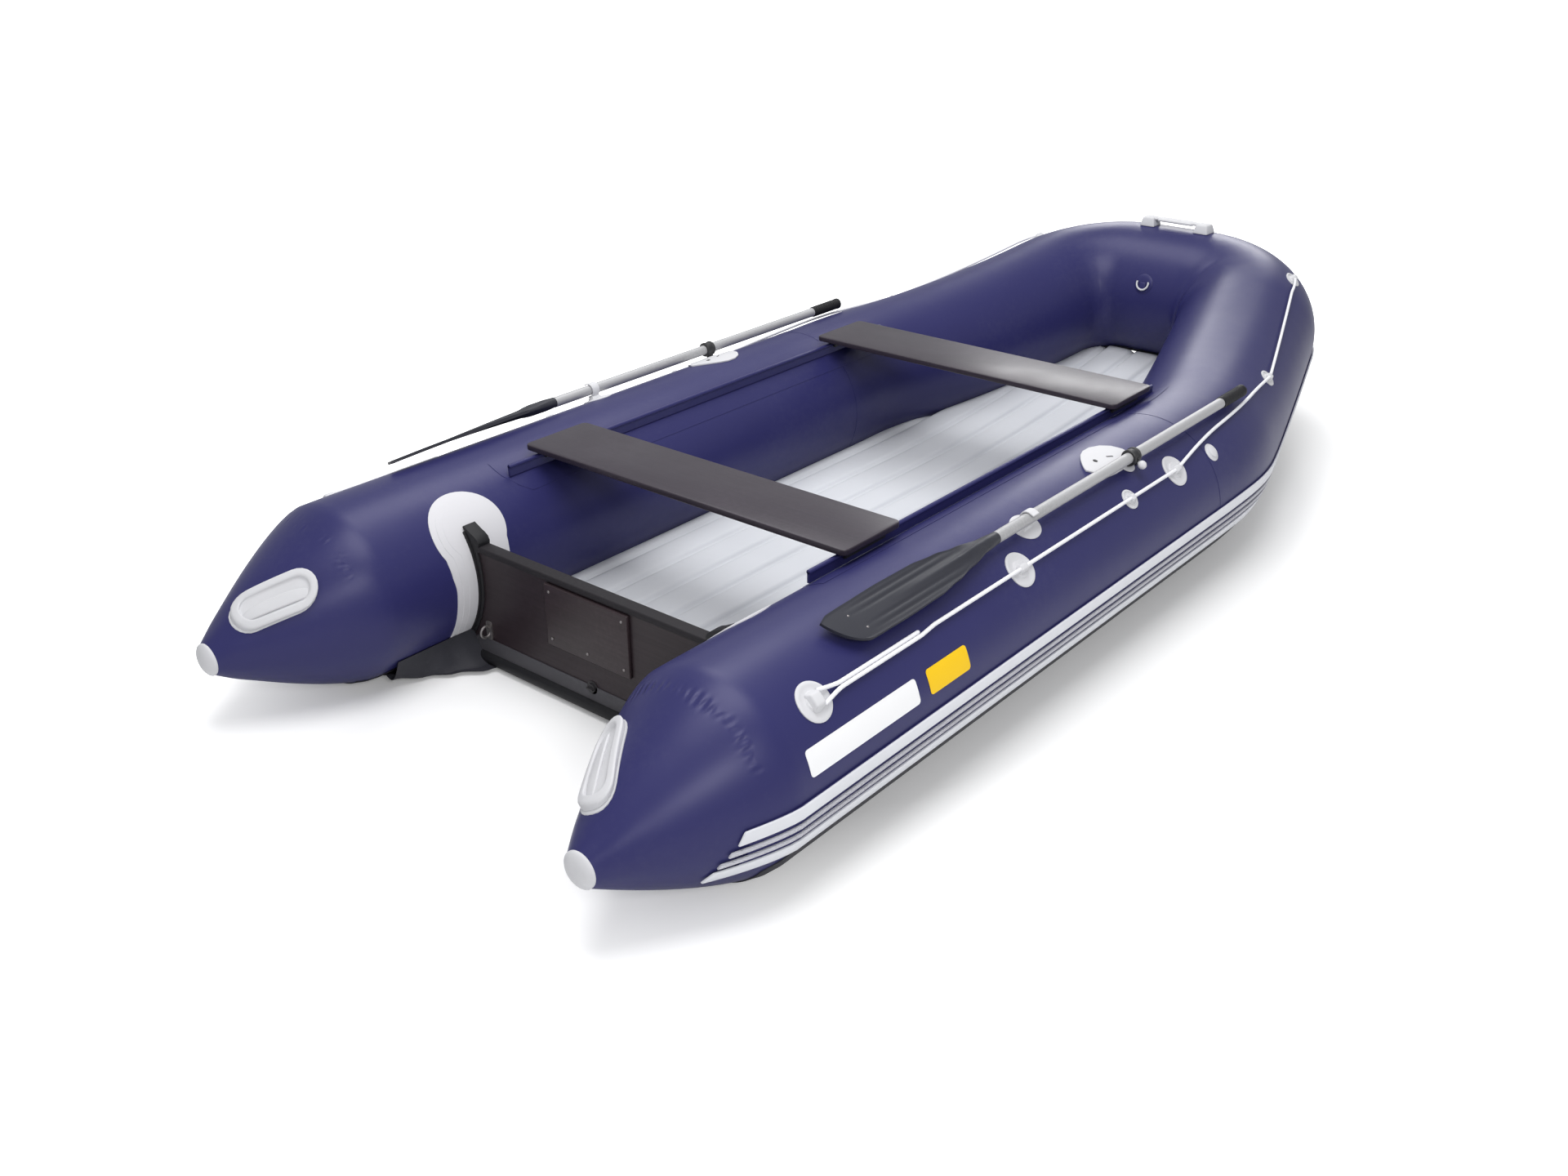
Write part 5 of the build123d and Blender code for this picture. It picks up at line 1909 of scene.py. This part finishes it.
    def make_swivel(self) -> None:
        """Swivel ring with its hub, and the round knob beside it."""
        r = self.shaft_radius
        profile = [(r + 0.0005, -0.0165), (r + 0.005, -0.0165), (r + 0.0072, -0.0145),
                   (r + 0.0072, -0.009), (r + 0.0052, -0.007)]
        profile += [(radius, -x) for radius, x in reversed(profile)]
        ring = self.on_shaft("ring", profile, 36)
        hub = turned("hub", [(0.010, -0.0252), (0.0108, -0.024), (0.0108, -0.019), (0.0135, -0.012),
                             (0.012, 0.0)], 28)
        ears = block("ears", (-0.006, -0.024, -0.012), (0.006, -0.017, 0.012))
        round_edges(ears, 0.003, 3)
        swivel = self.settle(join(self.side.of("swivel"), [ring, hub, ears]))
        self.yard.deliver(swivel, Paint.PLASTIC, [self.side.of("oar_collar")], self.body)
        profile = [(0.0045, 0.021), (0.0052, 0.0245), (0.0066, 0.0262), (0.0099, 0.0295),
                   (0.0114, 0.034), (0.0108, 0.0393), (0.0082, 0.0437), (0.0042, 0.0466), (0.001, 0.0472)]
        knob = turned(self.side.of("swivel_knob"), profile, 28)
        reshape(knob, lambda p: Vector((p.x, -p.z, p.y)))
        self.settle(knob)
        self.yard.deliver(knob, Paint.FITTING, [self.side.of("oar_knob")], self.body, 60)

    def make_pad(self) -> None:
        """Fan-shaped moulded pad under the swivel, with a boss, a dark plug and a slot."""
        line = self.yard.line
        outline = [(0.056, 0.000), (0.060, 0.020), (0.058, 0.045), (0.046, 0.074), (0.026, 0.096),
                   (-0.004, 0.110), (-0.036, 0.110), (-0.064, 0.101), (-0.090, 0.086),
                   (-0.112, 0.069), (-0.128, 0.053), (-0.133, 0.045), (-0.118, 0.022),
                   (-0.102, -0.002), (-0.060, -0.006), (-0.020, -0.006), (0.020, -0.006)]
        pad = cut_plate("pad", outline, 0.0, 0.0048)
        slice_piece(pad, Axis.Y, steps(-0.006, 0.110, 0.010))
        slice_piece(pad, Axis.X, steps(-0.133, 0.060, 0.02))
        round_edges(pad, 0.0015, 2, 50)
        boss = turned("boss", [(0.024, 0.002), (0.024, 0.0052), (0.021, 0.0066), (0.0125, 0.0071),
                               (0.0118, 0.0063)], 32)
        ridge = cut_plate("ridge", [(-0.094, 0.004), (-0.030, -0.004), (-0.026, 0.006), (-0.088, 0.014)],
                          0.002, 0.0068)
        round_edges(ridge, 0.0012, 2)
        pad = join(self.side.of("swivel_pad"), [pad, boss, ridge])
        run = line.run_at(self.pin_x)
        line.lay(pad, self.angle, self.side, start=run)
        self.yard.deliver(pad, Paint.FITTING, [self.side.of("oarlock_pad")])
        plug = turned("plug", [(0.0062, 0.004), (0.0062, 0.0056), (0.005, 0.0062), (0.001, 0.0064)], 20)
        reshape(plug, lambda p: Vector((p.x - 0.068, p.y + 0.056, p.z)))
        slot = cut_plate("slot", [(-0.006, -0.0025), (0.010, -0.0025), (0.012, 0.0), (0.010, 0.0025),
                                  (-0.006, 0.0025), (-0.008, 0.0)], 0.004, 0.0054)
        reshape(slot, lambda p: Vector((p.x - 0.014, p.y + 0.046 - 0.5 * p.x, p.z)))
        plugs = line.lay(join(self.side.of("pad_plugs"), [plug, slot]), self.angle, self.side, start=run)
        self.yard.deliver(plugs, Paint.PLASTIC)

    def make_clip(self) -> None:
        """Oval base with the open hook that holds the shaft."""
        line = self.yard.line
        base = turned("base", [(0.046, 0.0), (0.046, 0.0018), (0.043, 0.0030), (0.026, 0.0042),
                               (0.016, 0.0062)], 36)
        reshape(base, lambda p: Vector((p.x + 0.008, p.y * 0.84, p.z)))
        line.lay(base, self.angle, self.side, start=line.run_at(self.clip_x))
        inner, outer = self.shaft_radius + 0.0016, self.shaft_radius + 0.0056
        arc = [radians(a) for a in range(-88, 89, 8)]
        profile = [(-0.010, outer), *[(outer * cos(a), outer * sin(a)) for a in reversed(arc)],
                   (-0.010, -outer), (-0.012, -outer + 0.002), (-0.010, -inner),
                   *[(inner * cos(a), inner * sin(a)) for a in arc], (-0.010, inner),
                   (-0.012, outer - 0.002)]
        hook = cut_plate("hook", list(reversed(profile)), -0.013, 0.013)
        reshape(hook, lambda p: Vector((p.z, p.x, p.y)))
        face_outwards(hook)
        round_edges(hook, 0.0012, 2, 50)
        foot = block("foot", (-0.013, -0.009, -0.031), (0.013, 0.009, -outer + 0.0015))
        taper(foot, (1.5, 1.6), top=False)
        round_edges(foot, 0.0025, 3)
        upper = self.settle(join("upper", [hook, foot]), self.clip_x)
        clip = join(self.side.of("shaft_clip"), [base, upper])
        self.yard.deliver(clip, Paint.FITTING, [self.side.of("oar_clip")])


# ---- lifelines


@dataclass
class Lifeline:
    """Taut rope along one side and the patches that hold it."""

    yard: Yard
    side: Side
    rope_radius: float = 0.0045
    rope_pitch: float = 0.0042
    rope_sides: int = 12
    lay_length: float = 0.026
    lift: float = 0.011
    base_angle: float = 45.0
    climb: float = 10.0
    bow_angle: float = 55.0
    large: float = 0.044
    small: float = 0.027
    large_x: tuple[float, ...] = (-1.403, -0.649, 0.122)
    small_x: tuple[float, ...] = (-0.126,)
    fork_x: float = -1.326
    tuck_x: float = -1.056

    @property
    def bow_runs(self) -> tuple[float, float]:
        """Runs of the two patches at the bow.

        Returns:
            The two runs, from aft to fore.
        """
        line = self.yard.line
        return (line.bend_run + line.taper_run * 0.26,
                line.bend_run + line.taper_run + line.corner_run * 0.2)

    def angle(self, run: float) -> float:
        """Where the rope lies round the tube.

        Args:
            run: Place along the hull's line.

        Returns:
            The angle.
        """
        first, last = self.bow_runs
        start = self.yard.line.run_at(self.large_x[-1])
        if run < start:
            degrees = self.base_angle
        elif run < first:
            share = (run - start) / (first - start)
            degrees = self.base_angle + self.climb * sin(pi * share)
        else:
            share = min(1.0, (run - first) / (last - first))
            degrees = self.base_angle + (self.bow_angle - self.base_angle) * share
        return radians(degrees)

    def build(self) -> None:
        """Build the rope and its patches."""
        self.make_rope()
        self.make_patches()

    def aside(self, run: float, sign: float) -> float:
        """How far each half of the doubled rope lies beside the line's own way.

        Args:
            run: Place along the hull's line.
            sign: Which half of the doubled rope it is, -1 or 1.

        Returns:
            The distance.
        """
        line = self.yard.line
        start, fork, tuck = (line.run_at(x) for x in (self.large_x[0], self.fork_x, self.tuck_x))
        apart = self.rope_radius * 1.02
        if run < fork:
            return sign * (apart + 0.0135 * ((fork - run) / (fork - start)) ** 1.3)
        return sign * apart * max(0.0, min(1.0, 1 - (run - tuck) / 0.05))

    def strand(self, name: str, first: float, last: float, sign: float) -> Piece:
        """Length of braided rope laid along the tube.

        Args:
            name: Name of the piece.
            first: Run of its aft end.
            last: Run of its fore end.
            sign: Which half of the doubled rope it is, -1 or 1.

        Returns:
            The strand.
        """
        bpy.ops.mesh.primitive_grid_add(x_subdivisions=round((last - first) / self.rope_pitch),
                                        y_subdivisions=self.rope_sides, size=1.0)
        rope = new_piece(name)

        def shape(point: Vector) -> Vector:
            """Roll the sheet into a braided strand."""
            run = first + (point.x + 0.5) * (last - first)
            turn = (point.y + 0.5) * 2 * pi
            turns = (run - first) / self.lay_length * 2 * pi
            weave = cos(3 * turn + turns) * cos(3 * turn - turns)
            radius = self.rope_radius * (0.95 + 0.07 * weave)
            end = min(run - first, last - run)
            radius *= sqrt(max(0.04, min(1.0, end / 0.004)))
            beside = self.aside(run, sign)
            return Vector((run, beside + radius * cos(turn), self.lift + radius * sin(turn)))
        reshape(rope, shape)
        self.yard.line.lay(rope, self.angle, self.side)
        close_roll(rope, 0.0001)
        face_outwards(rope, merge=False)
        return rope

    def make_rope(self) -> None:
        """Lay the rope, with its tied-back end beside it at the stern."""
        line = self.yard.line
        first = line.run_at(self.large_x[0]) + 0.012
        main = self.strand("main", first, self.bow_runs[-1] + 0.014, -1.0)
        tied = self.strand("tied", first, line.run_at(self.tuck_x), 1.0)
        rope = join(self.side.of("grab_rope"), [main, tied])
        self.yard.deliver(rope, Paint.ROPE, [self.side.of("lifeline")], angle=80)

    def make_patches(self) -> None:
        """Lay the six patches."""
        line = self.yard.line
        places = [(self.large, line.run_at(x)) for x in self.large_x]
        places += [(self.small, line.run_at(x)) for x in self.small_x]
        places += [(self.small, run) for run in self.bow_runs]
        patches = []
        for number, (r, run) in enumerate(places):
            disc = turned("disc", [(r, 0.0), (r, 0.0024), (r * 0.93, 0.0034), (r * 0.80, 0.0034),
                                   (r * 0.74, 0.0016), (r * 0.52, 0.0014), (r * 0.46, 0.0046),
                                   (r * 0.3, 0.0056)], 40)
            half, broad = r * 0.4, 0.021 if number == 0 else 0.012
            boss = block("boss", (-half, -broad, 0.002), (half, broad, 0.0175))
            taper(boss, (0.75, 0.6))
            round_edges(boss, 0.004, 4)
            patch = join("patch", [disc, boss])
            patches.append(line.lay(patch, self.angle(run), self.side, start=run))
        self.yard.deliver(join(self.side.of("rope_patches"), patches), Paint.FITTING,
                          [self.side.of("line_patches")], angle=40)


# ---- small fittings


@dataclass
class HullFittings:
    """Handles, valves, rings and blank panels on the tubes."""

    yard: Yard
    handle_x: float = -1.738
    handle_angle: float = radians(126.5)
    handle_skew: float = radians(17)
    handle_squeeze: float = 0.93
    post_x: float = 0.101
    ring_angle: float = radians(161)
    valve_x: float = 0.327
    valve_angle: float = radians(42)
    panel_angle: float = radians(20.4)
    panel_half_angle: float = radians(7)
    panel_corner: float = 0.008

    def build(self) -> None:
        """Build every small fitting."""
        self.bow_handle()
        self.bow_ring()
        for side in Side:
            self.stern_handle(side)
            self.valve(side)
            self.panel(side, "name", -1.485, -1.125, Paint.WHITE_PANEL)
            self.panel(side, "number", -1.086, -0.938, Paint.YELLOW_PANEL)

    @staticmethod
    def oval(length: float, width: float, count: int = 12) -> list[tuple[float, float]]:
        """Outline of a slot shape, anticlockwise.

        Args:
            length: Its length.
            width: Its width.
            count: Steps round each end.

        Returns:
            The outline.
        """
        r = width / 2
        reach = length / 2 - r
        turns = [radians(-90 + 180 * n / count) for n in range(count + 1)]
        right = [(reach + r * cos(turn), r * sin(turn)) for turn in turns]
        return right + [(-x, -y) for x, y in right]

    def stern_handle(self, side: Side) -> None:
        """Moulded carrying handle: a soft oval rim round a shallow pan, with a broad grip across.

        Args:
            side: Side of the boat.
        """
        line = self.yard.line
        flange = cut_plate("flange", self.oval(0.196, 0.098), 0.0, 0.0028)
        rim = cut_plate("rim", self.oval(0.188, 0.090), 0.001, 0.019)
        cut_out(rim, cut_plate("hole", self.oval(0.152, 0.054), 0.008, 0.04))
        round_edges(rim, 0.0052, 4, 60)
        half = 0.074
        grip = block("grip", (-half, -0.004, 0.006), (half, 0.024, 0.0145))
        round_edges(grip, 0.0036, 3)
        slice_piece(grip, Axis.X, steps(-half, half, 0.01))
        reshape(grip, lambda p: Vector((p.x, p.y + (0.008 * abs(p.x / half) ** 3 if p.y < 0.01 else 0.0),
                                        p.z - 0.006 * (p.x / half) ** 4)))
        for piece in (flange, rim, grip):
            slice_piece(piece, Axis.X, steps(-0.098, 0.098, 0.014))
            slice_piece(piece, Axis.Y, steps(-0.052, 0.052, 0.013))
        handle = join(side.of("carry_handle"), [flange, rim, grip])
        turn = Matrix.Rotation(self.handle_skew, 3, "Z")
        reshape(handle, lambda p: turn @ p)
        reshape(handle, lambda p: Vector((self.handle_squeeze * p.x, p.y, p.z)))
        line.lay(handle, self.handle_angle, side, start=line.run_at(self.handle_x))
        self.yard.deliver(handle, Paint.FITTING, [side.of("stern_handle")], angle=40)

    def bow_handle(self) -> None:
        """Lifting handle on top of the bow: a broad ribbed grip between two blocks."""
        pieces = []
        for x in (-self.post_x, self.post_x):
            post = block("post", (x - 0.027, -0.030, 0.0), (x + 0.027, 0.030, 0.031))
            taper(post, (0.72, 0.66))
            round_edges(post, 0.005, 4)
            pieces.append(post)
        grip = block("grip", (-0.104, -0.0125, 0.021), (0.104, 0.0125, 0.0305))
        slice_piece(grip, Axis.X, steps(-0.104, 0.104, 0.006))
        reshape(grip, lambda p: Vector((p.x, p.y * (1.7 if abs(p.x) < 0.068 else 1.0), p.z)))
        round_edges(grip, 0.004, 3, 50)
        reshape(grip, lambda p: Vector((p.x, p.y * (1 + 0.05 * cos(p.x * 400)), p.z)))
        handle = join("bow_lift_handle", [*pieces, grip])
        self.yard.line.lay(handle, radians(90), start=self.yard.line.half_run)
        self.yard.deliver(handle, Paint.FITTING, ["bow_handle"], angle=40)

    def bow_ring(self) -> None:
        """Round patch inside the bow with a ring hanging from its strap."""
        line = self.yard.line
        patch = turned("patch", [(0.034, 0.0), (0.034, 0.0012), (0.0325, 0.002), (0.02, 0.0026)], 40)
        strap = block("strap", (-0.011, -0.004, 0.001), (0.011, 0.020, 0.0085))
        round_edges(strap, 0.003, 3)
        bpy.ops.mesh.primitive_torus_add(major_radius=0.0215, minor_radius=0.0032, major_segments=40,
                                         minor_segments=14, location=(0, 0, 0.0085))
        ring = new_piece("bow_inner_loop")
        with editing(ring, "VERT"):
            bpy.ops.mesh.bisect(plane_co=(0, -0.0065, 0), plane_no=(0, 1, 0), clear_inner=True)
            bpy.ops.mesh.select_all(action="DESELECT")
            bpy.ops.mesh.select_non_manifold(extend=False)
            bpy.ops.mesh.edge_face_add()
        face_outwards(ring)
        base = join("bow_ring_patch", [patch, strap])
        for piece, paint, nodes in ((base, Paint.NAVY, ["bow_inner_ring"]), (ring, Paint.FITTING, [])):
            line.lay(piece, self.ring_angle, start=line.half_run)
            self.yard.deliver(piece, paint, nodes)

    def valve(self, side: Side) -> None:
        """Air valve: a flange with a plain round cap.

        Args:
            side: Side of the boat.
        """
        line = self.yard.line
        profile = [(0.026, 0.0), (0.026, 0.0016), (0.0235, 0.0028), (0.0175, 0.0034), (0.0168, 0.0070),
                   (0.0150, 0.0082), (0.0060, 0.0086)]
        valve = turned(side.of("valve"), profile, 36)
        line.lay(valve, self.valve_angle, side, start=line.run_at(self.valve_x))
        self.yard.deliver(valve, Paint.FITTING, ["air_valves"] if side is Side.PORT else [])

    def panel(self, side: Side, name: str, aft: float, fore: float, paint: Paint) -> None:
        """Blank panel above the strake, with rounded corners.

        Args:
            side: Side of the boat.
            name: What it is for.
            aft: X of its aft end.
            fore: X of its fore end.
            paint: Its finish.
        """
        line = self.yard.line
        half, r = self.panel_half_angle * line.tube_radius, self.panel_corner
        first, last = line.run_at(aft), line.run_at(fore)
        corners = ((last - r, half - r, 0), (first + r, half - r, 90), (first + r, r - half, 180),
                   (last - r, r - half, 270))
        turns = [(x, y, radians(turn + step)) for x, y, turn in corners for step in (0, 30, 60, 90)]
        outline = [(x + r * cos(turn), y + r * sin(turn)) for x, y, turn in turns]
        panel = cut_plate(side.of(name + "_label"), outline, 0.0002, 0.0011)
        slice_piece(panel, Axis.Y, steps(-half, half, 0.008))
        slice_piece(panel, Axis.X, steps(first, last, 0.05))
        line.lay(panel, self.panel_angle, side)
        self.yard.deliver(panel, paint, [name + "_panels"] if side is Side.PORT else [])


# ---- kept CAD nodes


@dataclass
class KeptNodes:
    """CAD nodes whose own shape is right, and their finishes."""

    shop: PaintShop
    finishes: tuple[tuple[str, Paint], ...] = (
        ("hull_bottom", Paint.BOTTOM), ("keel_guards", Paint.BOTTOM), ("transom_lip", Paint.RUBBER),
        ("drain_plug", Paint.DARK_FITTING), ("stern_tow_rings", Paint.DULL_STEEL),
        ("aft_seat_clips", Paint.PLASTIC), ("fore_seat_clips", Paint.PLASTIC),
        ("bow_tow_ring", Paint.STEEL),
        ("port_oarlock_pin", Paint.PIN), ("starboard_oarlock_pin", Paint.PIN))

    def dress(self, nodes: dict[str, Piece]) -> None:
        """Give each kept node its finish.

        Args:
            nodes: The CAD nodes by name.
        """
        for name, paint in self.finishes:
            self.shop.coat(nodes[name], paint)
            LOG.info("%s kept in %s", name, paint.value.name)


# ---- studio


@dataclass(frozen=True)
class Lamp:
    """Soft lamp, round if it has one size and square cornered if it has two."""

    name: str
    place: tuple[float, float, float]
    aim: tuple[float, float, float]
    size: tuple[float, ...]
    power: float

    def build(self) -> None:
        """Add the lamp and point it."""
        bpy.ops.object.light_add(type="AREA", location=self.place)
        lamp = bpy.context.object
        lamp.name = self.name
        lamp.data.shape = "DISK" if len(self.size) == 1 else "RECTANGLE"
        lamp.data.size, lamp.data.size_y = self.size[0], self.size[-1]
        lamp.data.energy = self.power
        direction = Vector(self.aim) - Vector(self.place)
        lamp.rotation_euler = direction.to_track_quat("-Z", "Y").to_euler()


@dataclass
class Studio:
    """Pale floor, soft light and the camera."""

    camera_place: tuple[float, float, float] = (-3.32597, -2.31701, 1.86722)
    yaw: float = radians(39.836)
    pitch: float = radians(26.515)
    roll: float = radians(-0.393)
    lens: float = 33.957
    floor_size: float = 90.0
    shadow_reach: tuple[float, float] = (2.2, 1.25)
    lamps: tuple[Lamp, ...] = (
        Lamp("key", (-1.2, -0.6, 4.2), (0.1, 0.0, 0.3), (3.0,), 112.0),
        Lamp("fill", (1.3, 1.7, 4.4), (0.3, 0.0, 0.3), (2.6,), 65.0),
        Lamp("bow_panel", (6.5, 2.07, 2.65), (0.37, -0.2, 0.48), (3.0, 1.6), 90.0),
        Lamp("stern_panel", (-3.6, -4.2, 3.2), (-1.6, -0.3, 0.35), (1.5, 0.8), 75.0))

    def build(self) -> None:
        """Build the floor, the light and the camera."""
        self.make_floor()
        self.make_world()
        for lamp in self.lamps:
            lamp.build()
        self.make_camera()
        bpy.context.scene.view_settings.view_transform = "Standard"

    def make_floor(self) -> None:
        """Wide pale floor that keeps the boat's shadow and is white beyond it."""
        bpy.ops.mesh.primitive_plane_add(size=self.floor_size, location=(0, 0, 0))
        floor = new_piece("studio_floor")
        recipe = Recipe("studio_floor")
        recipe.set(Base_Color=(0.86, 0.86, 0.86, 1), Roughness=0.9, Specular_IOR_Level=0.1)
        stretch = recipe.add("ShaderNodeVectorMath")
        stretch.operation = "MULTIPLY"
        recipe.feed(stretch.inputs[0], recipe.place)
        recipe.feed(stretch.inputs[1], (1 / self.shadow_reach[0], 1 / self.shadow_reach[1], 0.0))
        away = recipe.add("ShaderNodeVectorMath")
        away.operation = "LENGTH"
        recipe.feed(away.inputs[0], stretch.outputs["Vector"])
        fade = recipe.add("ShaderNodeMapRange", Value=away.outputs["Value"], From_Min=0.8, From_Max=1.5,
                          To_Min=0.15, To_Max=1.0)
        glow = recipe.add("ShaderNodeEmission", Color=(1, 1, 1, 1), Strength=fade.outputs["Result"])
        lit = recipe.add("ShaderNodeAddShader")
        recipe.feed(lit.inputs[0], recipe.surface.outputs[0])
        recipe.feed(lit.inputs[1], glow.outputs[0])
        recipe.feed(recipe.output.inputs["Surface"],
                    recipe.to_camera(recipe.surface.outputs[0], lit.outputs[0]))
        floor.data.materials.append(recipe.material)

    def make_world(self) -> None:
        """Even light from all round, white where it is seen."""
        world = bpy.data.worlds.new("studio_world")
        bpy.context.scene.world = world
        world.use_nodes = True
        sky = Wiring(world.node_tree)
        sky.tree.nodes.clear()
        dim = sky.add("ShaderNodeBackground", Color=(0.97, 0.98, 1.0, 1), Strength=0.5)
        bright = sky.add("ShaderNodeBackground", Color=(1, 1, 1, 1), Strength=1.0)
        sky.add("ShaderNodeOutputWorld", Surface=sky.to_camera(dim.outputs[0], bright.outputs[0]))

    def make_camera(self) -> None:
        """Camera at the viewing angle."""
        forward = Vector((cos(self.yaw) * cos(self.pitch),
                          sin(self.yaw) * cos(self.pitch), -sin(self.pitch)))
        level = forward.cross(Vector((0, 0, 1))).normalized()
        upright = level.cross(forward)
        right = level * cos(self.roll) + upright * sin(self.roll)
        up = upright * cos(self.roll) - level * sin(self.roll)
        bpy.ops.object.camera_add(location=self.camera_place)
        camera = bpy.context.object
        turn = Matrix((right, up, -forward)).transposed().to_4x4()
        camera.matrix_world = Matrix.Translation(self.camera_place) @ turn
        camera.data.sensor_width = 36.0
        camera.data.lens = self.lens
        camera.data.clip_end = 200.0
        bpy.context.scene.camera = camera


def main() -> None:
    """Load the frame, build the boat's looks round it and set up the studio."""
    logging.basicConfig(level=logging.INFO, format="%(name)s: %(message)s")
    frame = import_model()
    deselect()
    studio = Studio()
    studio.build()
    shop = PaintShop(Effects())
    yard = Yard(HullLine(), shop)
    AirTubes(yard).build()
    Strake(yard).build()
    AirFloor(yard).build()
    Transom(yard).build()
    Bench(yard, "aft", aft=-0.971, width=0.216).build()
    Bench(yard, "fore", aft=0.256, width=0.224).build()
    SeatTrack(yard).build()
    for side in Side:
        Oar(yard, side).build()
        Lifeline(yard, side).build()
    HullFittings(yard).build()
    KeptNodes(shop).dress(frame["nodes"])
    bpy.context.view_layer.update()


if __name__ == "__main__":
    main()
